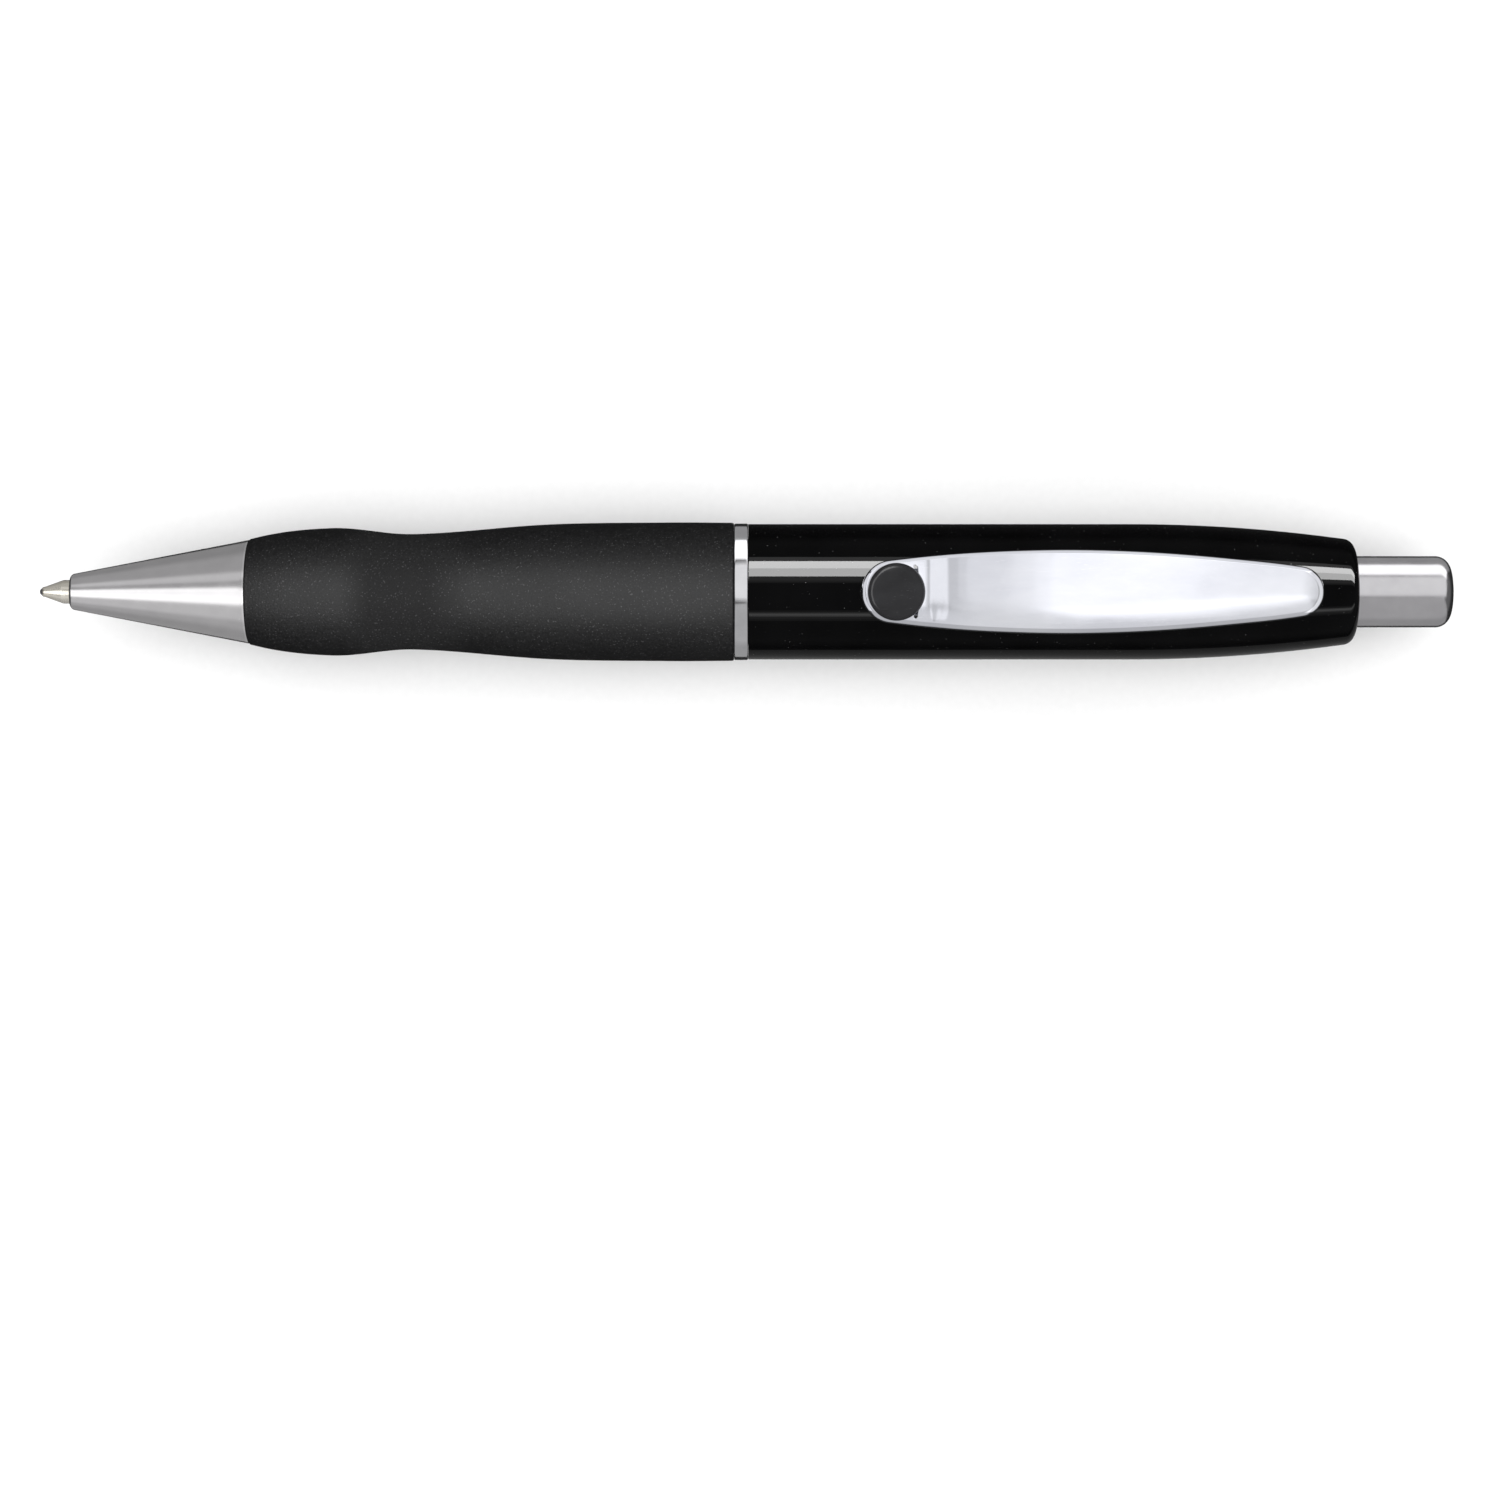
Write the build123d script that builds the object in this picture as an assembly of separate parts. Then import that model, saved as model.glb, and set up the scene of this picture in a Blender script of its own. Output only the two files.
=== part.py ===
from build123d import *
import math
import os

# Retractable ballpoint pen with a rubber grip, a metal clip and a push button.
#
# Each piece is modelled in pen coordinates, in millimetres: x is the distance from the ball end
# along the pen's axis, z is the height above the axis on the clip's side, and y goes across.
# The pen is shown ready to write, with its point out. place() then lays it down in the part's
# frame: x = 0 at mid-length, y = 0 on the axis, z = 0 at the lowest line of the grip.

# ---- whole pen -----------------------------------------------------------------------------
PEN_LENGTH = 141.2
GRIP_MAX_RADIUS = 6.93
AXIS_HEIGHT = GRIP_MAX_RADIUS
FIT = 0.02                  # gap between two pieces of one body that touch
RUN = 0.06                  # radial gap of a piece that slides or turns
SCREW_FIT = 0.04            # radial gap of a socket round its spigot
BITE = 0.20                 # how far a rib or tooth reaches into the wall that it stands on

# ---- refill (standard 98 mm size) ----------------------------------------------------------
BALL_RADIUS = 0.40
BALL_GAP = 0.015
POINT_START = 0.25
POINT_RADIUS = 1.18
POINT_CONE_END = 2.35
POINT_RIM_RADIUS = 0.45
POINT_END = 12.0
SHANK_RADIUS = 0.90
SHANK_END = 16.0
INK_CHANNEL_RADIUS = 0.22
NECK_RADIUS = 1.60
NECK_END = 23.5
NECK_LIP = 0.80
NECK_PLUG_RADIUS = 2.60
NECK_PLUG_END = 27.0
REFILL_RADIUS = 2.95
REFILL_BORE = 2.62
REFILL_TUBE_END = 91.0
REFILL_TUBE_ROUND = 0.15
END_CAP_END = 98.0
END_CAP_PLUG_START = 87.5
END_CAP_BORE = 0.80
END_CAP_WALL = 1.20
END_CAP_FLUTES = 12
END_CAP_FLUTE_RADIUS = 0.60
END_CAP_FLUTE_DEPTH = 0.25
END_CAP_FLUTE_START = 92.0
INK_END = 74.0

# ---- return spring -------------------------------------------------------------------------
SPRING_START = 8.2
SPRING_END = NECK_END - FIT
SPRING_MEAN_RADIUS = 1.875
SPRING_WIRE_RADIUS = 0.175
SPRING_TURNS = 9

# ---- nose cone -----------------------------------------------------------------------------
CONE_START = 3.1
CONE_END = 21.0
CONE_FRONT_RADIUS = 1.71
CONE_REAR_RADIUS = 5.19
CONE_NOSE_ROUND = 0.45
CONE_BORE = POINT_RADIUS + RUN
CONE_CHAMBER = 2.15
CONE_CHAMBER_END = 16.0
CONE_REAR_BORE = 3.20
CONE_REAR_BORE_START = 17.5
CONE_SPIGOT_RADIUS = 4.00
CONE_SPIGOT_END = 28.0

# ---- front barrel and grip -----------------------------------------------------------------
GRIP_START = CONE_END + FIT
GRIP_END = 69.4
GRIP_FRONT_RADIUS = 5.26
GRIP_BULGE = (29.3, 6.37)       # (x, radius) of the swelling under the fingertips
GRIP_WAIST = (37.2, 5.77)
GRIP_SHOULDER = (51.0, 6.74)
GRIP_WIDEST_X = 63.0
GRIP_REAR_RADIUS = 6.90
GRIP_FRONT_SLOPE = 0.27
GRIP_SHOULDER_SLOPE = 0.045
GRIP_REAR_SLOPE = -0.008
LOWER_TUBE_RADIUS = 4.72
LOWER_TUBE_STEP_START = 57.0
LOWER_TUBE_STEP_END = 60.0
LOWER_TUBE_REAR_RADIUS = 5.60
LOWER_TUBE_BORE = 3.25
LOWER_SOCKET_END = 28.5
SPIGOT_RADIUS = 5.30
SPIGOT_END = 79.0

# ---- screw threads, drawn as rings ---------------------------------------------------------
THREAD_PITCH = 1.0
THREAD_DEPTH = 0.30
THREAD_RIDGE = 0.24
THREAD_HALF_WIDTH = 0.40
CONE_THREAD_START = 22.5
SPIGOT_THREAD_START = 72.0
THREAD_TURNS = 5

# ---- centre ring and rear barrel -----------------------------------------------------------
RING_START = GRIP_END + FIT
RING_END = 70.8
RING_RADIUS = 6.82
RING_EDGE = 0.15
BARREL_START = RING_END + FIT
BARREL_END = 131.3
BARREL_RADIUS = 6.77
TAPER_START = 109.0
TAPER_ARC_RADIUS = 155.0
BARREL_END_ROUND = 1.15
BARREL_SOCKET_RADIUS = SPIGOT_RADIUS + SCREW_FIT
BARREL_SOCKET_END = 80.0
BARREL_BORE = 5.00
BARREL_BORE_END = 125.3
BUTTON_RADIUS = 3.56
BUTTON_HOLE = BUTTON_RADIUS + 0.08

# ---- click mechanism: a slotted sleeve, a turning cam and a toothed pusher -----------------
CAM_COUNT = 3
SLEEVE_START = 96.0
SLEEVE_RADIUS = BARREL_BORE - FIT
SLEEVE_GROOVE = 4.55
SLEEVE_RIB_INNER = 3.75
SLEEVE_FIRST_RAMP = (0.0, 14.0)     # degrees round the axis
SLEEVE_SECOND_RAMP = (14.0, 30.0)
SLEEVE_NOTCH = 0.30                 # depth of the latching notch
RAMP_SLOPE = 1.35                   # rise along the axis per millimetre round it
ROTOR_RIB = (1.0, 13.0)             # degrees round the axis
ROTOR_START = END_CAP_END + 0.05
ROTOR_NECK_RADIUS = 2.60
ROTOR_HEAD_START = 104.0
ROTOR_HEAD_RADIUS = 3.30
ROTOR_RIB_START = 104.5
ROTOR_RIB_RADIUS = SLEEVE_GROOVE - 0.10
ROTOR_RIB_TOP = 109.5
LATCH_GAP = 0.50
ROTOR_PIN_RADIUS = 1.40
ROTOR_PIN_END = 116.0
CROWN_TEETH = 6
CROWN_TOOTH_SHARE = 0.85            # of the step from tooth to tooth
CROWN_SLOPE = 0.40
CROWN_INNER = 1.70
CROWN_ROOT = 1.0                    # from the teeth's mid height to the wall behind them
CROWN_ROTOR_X = 110.0
CROWN_PUSHER_X = 111.5
PUSHER_RADIUS = 3.40
PUSHER_BORE = ROTOR_PIN_RADIUS + RUN
PUSHER_BORE_END = 118.0
PUSHER_BODY_END = 123.8
PUSHER_KEY = (67.0, 83.0)           # degrees round the axis
PUSHER_KEY_START = 113.0
PUSHER_KEY_END = 117.0
PUSHER_SHAFT_END = 139.3

# ---- push button ---------------------------------------------------------------------------
BUTTON_START = 124.0
BUTTON_END = PEN_LENGTH
BUTTON_INNER_RADIUS = 3.10
BUTTON_INNER_END = 139.4
BUTTON_EDGE_ROUND = 1.45
BUTTON_DOME = 0.25

# ---- clip ----------------------------------------------------------------------------------
CLIP_SHEET = 0.50
CLIP_FRONT = 81.85
CLIP_REAR = 127.4
CLIP_EDGE_ROUND = 0.70
CLIP_TO_BARREL = 0.03
CLIP_HALF_SPACE = 6.0           # half width of the space that the clip is cut from
CLIP_SPACE_TOP = 14.0
CLIP_HOLLOW_Z = 3.0
CLIP_REAR_SLOPE = -0.148
# the clip seen from above: round ends, and half widths between them: (x, y)
CLIP_FRONT_ROUND = 3.10
CLIP_FRONT_ARC = 97             # degrees where the front round ends
CLIP_REAR_ROUND = 2.50
CLIP_REAR_ARC = 81
CLIP_SIDE = [(89.8, 3.64), (96.0, 4.01), (103.0, 4.13), (110.5, 3.88), (118.0, 3.29)]
# height of the clip's top face over the axis: (x, z)
EYELET_TOP_FRONT = (81.4, 9.75)
EYELET_TOP_REAR = (88.2, 9.30)
ARM_TOP = [(89.3, 9.58), (90.5, 9.90), (93.0, 10.12), (99.5, 10.40), (105.1, 10.20),
           (110.7, 9.76), (116.3, 9.13), (122.0, 8.31), (128.4, 7.36)]
# lower edge of the rolled rim, from the front to the skirts
RIM_EDGE = [(81.4, 8.48), (88.0, 8.17), (92.7, 8.74), (101.9, 8.99), (110.5, 8.65),
            (115.2, 8.10), (118.0, 6.75)]
# lower edge of the skirts, which follow the barrel, and of the heel that the clip rocks on
SKIRT_EDGE = [(117.5, 5.38), (123.6, 5.20), (124.3, 5.62), (125.0, 5.52), (126.0, 5.39),
              (126.9, 5.60), (128.4, 5.72)]
TONGUE_HALF_WIDTH = 2.30
TONGUE_SHEET = 0.28
TONGUE_BEND = 0.40
# middle of the tongue that is folded under the eyelet: (x, z)
TONGUE_PATH = [(82.03, 9.05), (82.87, 8.03), (85.00, 6.95), (85.90, 6.95), (88.05, 8.45)]
SLOT_X = 87.15
SLOT_WIDTH = 0.36
SLOT_HALF_LENGTH = 2.60

# ---- clip insert and bracket ---------------------------------------------------------------
INSERT_X = 85.25
INSERT_RADIUS = 2.82
INSERT_THICKNESS = 1.05
INSERT_EDGE_ROUND = 0.55
STEM_RADIUS = 1.25
STEM_TIP_RADIUS = 0.55
STEM_SHOULDER_Z = 8.22
STEM_TIP_Z = 7.20
BRACKET_START = 117.2
BRACKET_END = 122.0
BRACKET_HALF_WIDTH = 2.25
BRACKET_TOP_Z = 7.55
BRACKET_FOOT = (118.6, 121.4)
BRACKET_FOOT_HALF_WIDTH = 1.20
BRACKET_FOOT_Z = 5.60
BRACKET_FOOT_HEIGHT = 1.50


# ---- helpers -------------------------------------------------------------------------------
def place(shape):
    """Lay a piece down from pen coordinates in the part's frame."""
    return Pos(-PEN_LENGTH / 2, 0, AXIS_HEIGHT) * shape


def lathe(wire_or_points):
    """Turn a closed outline, drawn as x and radius, about the pen's axis."""
    if isinstance(wire_or_points, list):
        edges = Polyline([(x, 0, r) for x, r in wire_or_points], close=True)
    else:
        edges = wire_or_points
    return revolve(make_face(edges), Axis.X)


def tube(start, end, outer, inner=0.0):
    """A plain round tube or rod on the pen's axis."""
    return lathe([(start, inner), (end, inner), (end, outer), (start, outer)])


def round_edge(shape, x, radius, rounding):
    """Round the circular edge at x that has the given radius."""
    rims = [edge for edge in shape.edges().filter_by(GeomType.CIRCLE)
            if abs(edge.arc_center.X - x) < 1e-3 and abs(edge.radius - radius) < 1e-3]
    return fillet(rims, rounding)


def thread_rings(start, radius, depth):
    """The crests of a screw thread, as rings that point away from a surface of this radius."""
    rings = []
    for turn in range(THREAD_TURNS):
        x = start + turn * THREAD_PITCH
        rings.append(lathe([(x - THREAD_HALF_WIDTH, radius), (x, radius + depth),
                            (x + THREAD_HALF_WIDTH, radius)]))
    return rings


def sector(start, end, inner, outer, from_angle, to_angle):
    """A piece of a round wall between two angles, measured from +y towards +z."""
    def spot(radius, angle):
        turn = math.radians(angle)
        return (start, radius * math.cos(turn), radius * math.sin(turn))
    middle = (from_angle + to_angle) / 2
    outline = [
        ThreePointArc(spot(inner, from_angle), spot(inner, middle), spot(inner, to_angle)),
        Line(spot(inner, to_angle), spot(outer, to_angle)),
        ThreePointArc(spot(outer, to_angle), spot(outer, middle), spot(outer, from_angle)),
        Line(spot(outer, from_angle), spot(inner, from_angle)),
    ]
    return extrude(make_face(outline), end - start, dir=(1, 0, 0))


def ramp_plane(x, angle, slope):
    """A plane across the axis at x that rises with the angle, and faces the button."""
    turn = math.radians(angle)
    radial = (0, math.cos(turn), math.sin(turn))
    normal = (1, slope * math.sin(turn), -slope * math.cos(turn))
    return Plane(origin=(x, 0, 0), x_dir=radial, z_dir=normal)


def repeat_round(shape, count):
    """Copies of a shape at equal steps about the axis."""
    return [Rot(360 * turn / count, 0, 0) * shape for turn in range(count)]


def taper_radius(x):
    """Outside radius of the rear barrel: a cylinder that runs into a long tangent arc."""
    if x <= TAPER_START:
        return BARREL_RADIUS
    drop = TAPER_ARC_RADIUS - math.sqrt(TAPER_ARC_RADIUS ** 2 - (x - TAPER_START) ** 2)
    return BARREL_RADIUS - drop


# ---- refill --------------------------------------------------------------------------------
def writing_ball():
    return Pos(BALL_RADIUS, 0, 0) * Sphere(BALL_RADIUS)


def refill_point():
    point = lathe([(POINT_START, 0), (SHANK_END, 0), (SHANK_END, SHANK_RADIUS),
                   (POINT_END, SHANK_RADIUS), (POINT_END, POINT_RADIUS),
                   (POINT_CONE_END, POINT_RADIUS), (POINT_START, POINT_RIM_RADIUS)])
    socket = Pos(BALL_RADIUS, 0, 0) * Sphere(BALL_RADIUS + BALL_GAP)
    return point - socket - tube(BALL_RADIUS, SHANK_END, INK_CHANNEL_RADIUS)


def refill_neck():
    start = POINT_END + FIT
    neck = lathe([(start, 0), (NECK_PLUG_END, 0), (NECK_PLUG_END, NECK_PLUG_RADIUS),
                  (NECK_END + NECK_LIP, NECK_PLUG_RADIUS), (NECK_END + NECK_LIP, REFILL_RADIUS),
                  (NECK_END, REFILL_RADIUS), (NECK_END, NECK_RADIUS), (start, NECK_RADIUS)])
    neck -= tube(start, SHANK_END + FIT, SHANK_RADIUS + FIT)
    return neck - tube(SHANK_END, NECK_PLUG_END, SHANK_RADIUS / 2)


def refill_tube():
    body = tube(NECK_END + NECK_LIP + FIT, REFILL_TUBE_END, REFILL_RADIUS, REFILL_BORE)
    return round_edge(body, REFILL_TUBE_END, REFILL_RADIUS, REFILL_TUBE_ROUND)


def refill_end_cap():
    cap = tube(REFILL_TUBE_END + FIT, END_CAP_END, REFILL_RADIUS)
    cap += tube(END_CAP_PLUG_START, REFILL_TUBE_END + FIT, REFILL_BORE - FIT)
    cap -= tube(END_CAP_PLUG_START, END_CAP_END - END_CAP_WALL, END_CAP_BORE)
    flute = Pos(END_CAP_FLUTE_START, REFILL_RADIUS + END_CAP_FLUTE_RADIUS - END_CAP_FLUTE_DEPTH, 0)
    flute *= Rot(0, 90, 0) * Cylinder(END_CAP_FLUTE_RADIUS, END_CAP_END - REFILL_TUBE_END,
                                      align=(Align.CENTER, Align.CENTER, Align.MIN))
    for cut in repeat_round(flute, END_CAP_FLUTES):
        cap -= cut
    return cap


def ink_column():
    return tube(NECK_PLUG_END + FIT, INK_END, REFILL_BORE - FIT)


def return_spring():
    """A compression spring with ground ends, between the nose cone and the refill's neck."""
    length = SPRING_END - SPRING_START
    helix = Helix(pitch=length / SPRING_TURNS, height=length, radius=SPRING_MEAN_RADIUS,
                  center=(SPRING_START, 0, 0), direction=(1, 0, 0))
    section = Plane(origin=helix @ 0, z_dir=helix % 0) * Circle(SPRING_WIRE_RADIUS)
    wire = sweep(section, path=helix, is_frenet=True)
    return wire & tube(SPRING_START + FIT, SPRING_END, REFILL_RADIUS)


# ---- front half ----------------------------------------------------------------------------
def nose_cone():
    cone = lathe([(CONE_START, 0), (CONE_SPIGOT_END, 0), (CONE_SPIGOT_END, CONE_SPIGOT_RADIUS),
                  (CONE_END, CONE_SPIGOT_RADIUS), (CONE_END, CONE_REAR_RADIUS),
                  (CONE_START, CONE_FRONT_RADIUS)])
    cone = round_edge(cone, CONE_START, CONE_FRONT_RADIUS, CONE_NOSE_ROUND)
    cone -= lathe([(CONE_START, 0), (CONE_SPIGOT_END, 0), (CONE_SPIGOT_END, CONE_REAR_BORE),
                   (CONE_REAR_BORE_START, CONE_REAR_BORE), (CONE_CHAMBER_END, CONE_CHAMBER),
                   (SPRING_START, CONE_CHAMBER), (SPRING_START, CONE_BORE),
                   (CONE_START, CONE_BORE)])
    for groove in thread_rings(CONE_THREAD_START, CONE_SPIGOT_RADIUS, -THREAD_DEPTH):
        cone -= groove
    return cone


def lower_barrel():
    start = CONE_END + FIT
    barrel = lathe([(start, LOWER_TUBE_BORE), (SPIGOT_END, LOWER_TUBE_BORE),
                    (SPIGOT_END, SPIGOT_RADIUS), (GRIP_END, SPIGOT_RADIUS),
                    (GRIP_END, LOWER_TUBE_REAR_RADIUS),
                    (LOWER_TUBE_STEP_END, LOWER_TUBE_REAR_RADIUS),
                    (LOWER_TUBE_STEP_START, LOWER_TUBE_RADIUS), (start, LOWER_TUBE_RADIUS)])
    barrel -= tube(start, LOWER_SOCKET_END, CONE_SPIGOT_RADIUS + SCREW_FIT)
    for ridge in thread_rings(CONE_THREAD_START, CONE_SPIGOT_RADIUS + SCREW_FIT, -THREAD_RIDGE):
        barrel += ridge
    for groove in thread_rings(SPIGOT_THREAD_START, SPIGOT_RADIUS, -THREAD_DEPTH):
        barrel -= groove
    return barrel


def rubber_grip():
    """A moulded sleeve that swells under the fingertips, narrows, and swells to the ring."""
    inner = LOWER_TUBE_RADIUS + FIT
    inner_rear = LOWER_TUBE_REAR_RADIUS + FIT
    outside = Spline([(GRIP_START, 0, GRIP_FRONT_RADIUS),
                      (GRIP_BULGE[0], 0, GRIP_BULGE[1]),
                      (GRIP_WAIST[0], 0, GRIP_WAIST[1]),
                      (GRIP_SHOULDER[0], 0, GRIP_SHOULDER[1]),
                      (GRIP_WIDEST_X, 0, GRIP_MAX_RADIUS),
                      (GRIP_END, 0, GRIP_REAR_RADIUS)],
                     tangents=[(1, 0, GRIP_FRONT_SLOPE), (1, 0, 0), (1, 0, 0),
                               (1, 0, GRIP_SHOULDER_SLOPE), (1, 0, 0), (1, 0, GRIP_REAR_SLOPE)])
    inside = Polyline((GRIP_END, 0, GRIP_REAR_RADIUS), (GRIP_END, 0, inner_rear),
                      (LOWER_TUBE_STEP_END, 0, inner_rear), (LOWER_TUBE_STEP_START, 0, inner),
                      (GRIP_START, 0, inner), (GRIP_START, 0, GRIP_FRONT_RADIUS))
    return revolve(make_face([outside, inside]), Axis.X)


def centre_ring():
    ring = tube(RING_START, RING_END, RING_RADIUS, SPIGOT_RADIUS + SCREW_FIT)
    ring = round_edge(ring, RING_START, RING_RADIUS, RING_EDGE)
    return round_edge(ring, RING_END, RING_RADIUS, RING_EDGE)


# ---- rear barrel ---------------------------------------------------------------------------
def barrel_envelope(gap=0.0):
    """The rear barrel's outside as a solid, grown by a gap."""
    middle = (TAPER_START + BARREL_END) / 2
    outline = [
        Polyline((BARREL_END, 0, taper_radius(BARREL_END) + gap), (BARREL_END, 0, 0),
                 (BARREL_START, 0, 0), (BARREL_START, 0, BARREL_RADIUS + gap),
                 (TAPER_START, 0, BARREL_RADIUS + gap)),
        ThreePointArc((TAPER_START, 0, BARREL_RADIUS + gap),
                      (middle, 0, taper_radius(middle) + gap),
                      (BARREL_END, 0, taper_radius(BARREL_END) + gap)),
    ]
    return revolve(make_face(outline), Axis.X)


def upper_barrel():
    barrel = round_edge(barrel_envelope(), BARREL_END, taper_radius(BARREL_END),
                        BARREL_END_ROUND)
    barrel -= lathe([(BARREL_START, 0), (BARREL_END, 0), (BARREL_END, BUTTON_HOLE),
                     (BARREL_BORE_END, BUTTON_HOLE), (BARREL_BORE_END, BARREL_BORE),
                     (BARREL_SOCKET_END, BARREL_BORE), (BARREL_SOCKET_END, BARREL_SOCKET_RADIUS),
                     (BARREL_START, BARREL_SOCKET_RADIUS)])
    for ridge in thread_rings(SPIGOT_THREAD_START, BARREL_SOCKET_RADIUS, -THREAD_RIDGE):
        barrel += ridge
    foot_length = BRACKET_FOOT[1] - BRACKET_FOOT[0] + 2 * FIT
    pocket = Pos(sum(BRACKET_FOOT) / 2, 0, BRACKET_FOOT_Z - FIT)
    pocket *= Box(foot_length, 2 * (BRACKET_FOOT_HALF_WIDTH + FIT), BRACKET_FOOT_HEIGHT,
                  align=(Align.CENTER, Align.CENTER, Align.MIN))
    return barrel - pocket


# ---- click mechanism -----------------------------------------------------------------------
def cam_sleeve():
    """A tube with three inside ribs, whose front ends are the ramps and latches of the cam."""
    sleeve = tube(SLEEVE_START, BARREL_BORE_END - FIT, SLEEVE_RADIUS, SLEEVE_GROOVE)
    first_x = ROTOR_RIB_TOP + LATCH_GAP
    first_middle = sum(SLEEVE_FIRST_RAMP) / 2
    second_middle = sum(SLEEVE_SECOND_RAMP) / 2
    mean_radius = (SLEEVE_RIB_INNER + SLEEVE_GROOVE) / 2
    climb = (math.sin(math.radians(SLEEVE_FIRST_RAMP[1] - first_middle))
             + math.sin(math.radians(second_middle - SLEEVE_SECOND_RAMP[0])))
    second_x = first_x + RAMP_SLOPE * mean_radius * climb - SLEEVE_NOTCH
    ramps = [(SLEEVE_FIRST_RAMP, first_x, first_middle),
             (SLEEVE_SECOND_RAMP, second_x, second_middle)]
    for span, x, middle in ramps:
        wall = sector(SLEEVE_START, BARREL_BORE_END - FIT, SLEEVE_RIB_INNER,
                      SLEEVE_GROOVE + BITE, *span)
        rib = split(wall, bisect_by=ramp_plane(x, middle, RAMP_SLOPE), keep=Keep.TOP)
        for copy in repeat_round(rib, CAM_COUNT):
            sleeve += copy
    return sleeve


def crown(x, wall_x, keep):
    """Saw teeth in a ring across the axis, which stand on a wall at wall_x."""
    span = 360 / CROWN_TEETH * CROWN_TOOTH_SHARE
    start, end = sorted([wall_x, 2 * x - wall_x])
    tooth = split(sector(start, end, CROWN_INNER, ROTOR_HEAD_RADIUS - FIT, 0, span),
                  bisect_by=ramp_plane(x, span / 2, CROWN_SLOPE), keep=keep)
    return repeat_round(tooth, CROWN_TEETH)


def rotor():
    """The cam that turns a step at each click and pushes the refill."""
    head_end = CROWN_ROTOR_X - CROWN_ROOT
    body = tube(ROTOR_START, ROTOR_HEAD_START, ROTOR_NECK_RADIUS)
    body += tube(ROTOR_HEAD_START, head_end, ROTOR_HEAD_RADIUS)
    body += tube(head_end, ROTOR_PIN_END, ROTOR_PIN_RADIUS)
    for tooth in crown(CROWN_ROTOR_X, head_end - FIT, Keep.BOTTOM):
        body += tooth
    rib = sector(ROTOR_RIB_START, 2 * ROTOR_RIB_TOP - ROTOR_RIB_START, ROTOR_HEAD_RADIUS - BITE,
                 ROTOR_RIB_RADIUS, *ROTOR_RIB)
    rib = split(rib, bisect_by=ramp_plane(ROTOR_RIB_TOP, sum(ROTOR_RIB) / 2, RAMP_SLOPE),
                keep=Keep.BOTTOM)
    for copy in repeat_round(rib, CAM_COUNT):
        body += copy
    return body


def thruster():
    """The pusher behind the cam: toothed at its front, keyed in the sleeve's grooves."""
    body_start = CROWN_PUSHER_X + CROWN_ROOT
    body = tube(body_start, PUSHER_BODY_END, PUSHER_RADIUS)
    body += tube(PUSHER_BODY_END, PUSHER_SHAFT_END, BUTTON_INNER_RADIUS - FIT)
    body -= tube(body_start, PUSHER_BORE_END, PUSHER_BORE)
    for tooth in crown(CROWN_PUSHER_X, body_start + FIT, Keep.TOP):
        body += tooth
    key = sector(PUSHER_KEY_START, PUSHER_KEY_END, PUSHER_RADIUS - BITE, ROTOR_RIB_RADIUS,
                 *PUSHER_KEY)
    for copy in repeat_round(key, CAM_COUNT):
        body += copy
    return body


def push_button():
    """A thin metal cap over the pusher's shaft."""
    edge = BUTTON_END - BUTTON_DOME
    side = Polyline((BUTTON_END, 0, 0), (BUTTON_START, 0, 0), (BUTTON_START, 0, BUTTON_RADIUS),
                    (edge, 0, BUTTON_RADIUS))
    dome = ThreePointArc((edge, 0, BUTTON_RADIUS),
                         (BUTTON_END - BUTTON_DOME / 4, 0, BUTTON_RADIUS / 2),
                         (BUTTON_END, 0, 0))
    cap = revolve(make_face([side, dome]), Axis.X)
    cap = round_edge(cap, edge, BUTTON_RADIUS, BUTTON_EDGE_ROUND)
    return cap - tube(BUTTON_START, BUTTON_INNER_END, BUTTON_INNER_RADIUS)


# ---- clip ----------------------------------------------------------------------------------
def clip_outline(inset):
    """The clip seen from above as an upright prism, drawn in by an inset all round."""
    front = CenterArc((CLIP_FRONT + CLIP_FRONT_ROUND, 0), CLIP_FRONT_ROUND - inset,
                      180, CLIP_FRONT_ARC - 180)
    rear = CenterArc((CLIP_REAR - CLIP_REAR_ROUND, 0), CLIP_REAR_ROUND - inset,
                     CLIP_REAR_ARC, -CLIP_REAR_ARC)
    side = Spline([front @ 1] + [(x, y - inset) for x, y in CLIP_SIDE] + [rear @ 0],
                  tangents=[front % 1, rear % 0])
    half = [front, side, rear]
    outline = make_face(half + [mirror(edge, Plane.XZ) for edge in half])
    return extrude(outline, CLIP_SPACE_TOP, dir=(0, 0, 1))


def clip_profile(lower_edge, drop):
    """The clip seen from the side, from its top face, lowered by drop, to a lower edge."""
    eyelet = Line((EYELET_TOP_FRONT[0], 0, EYELET_TOP_FRONT[1] - drop),
                  (EYELET_TOP_REAR[0], 0, EYELET_TOP_REAR[1] - drop))
    fall = (EYELET_TOP_REAR[1] - EYELET_TOP_FRONT[1]) / (EYELET_TOP_REAR[0] - EYELET_TOP_FRONT[0])
    arm = Spline([eyelet @ 1] + [(x, 0, z - drop) for x, z in ARM_TOP],
                 tangents=[(1, 0, fall), (1, 0, CLIP_REAR_SLOPE)])
    profile = Pos(0, -CLIP_HALF_SPACE, 0) * make_face([eyelet, arm]
                                                      + lower_edge(arm @ 1, eyelet @ 0))
    return extrude(profile, 2 * CLIP_HALF_SPACE, dir=(0, 1, 0))


def rolled_edge(rear_top, front_top):
    """The edge of the rolled rim, the skirts and the heel."""
    skirts = Polyline([rear_top] + [(x, 0, z) for x, z in reversed(SKIRT_EDGE)]
                      + [(RIM_EDGE[-1][0], 0, RIM_EDGE[-1][1])])
    rim = Spline([(x, 0, z) for x, z in reversed(RIM_EDGE)])
    return [skirts, rim, Line(rim @ 1, front_top)]


def open_below(rear_top, front_top):
    """A straight line well under the clip, for hollowing it."""
    return [Polyline(rear_top, (rear_top.X, 0, CLIP_HOLLOW_Z), (front_top.X, 0, CLIP_HOLLOW_Z),
                     front_top)]


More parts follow.
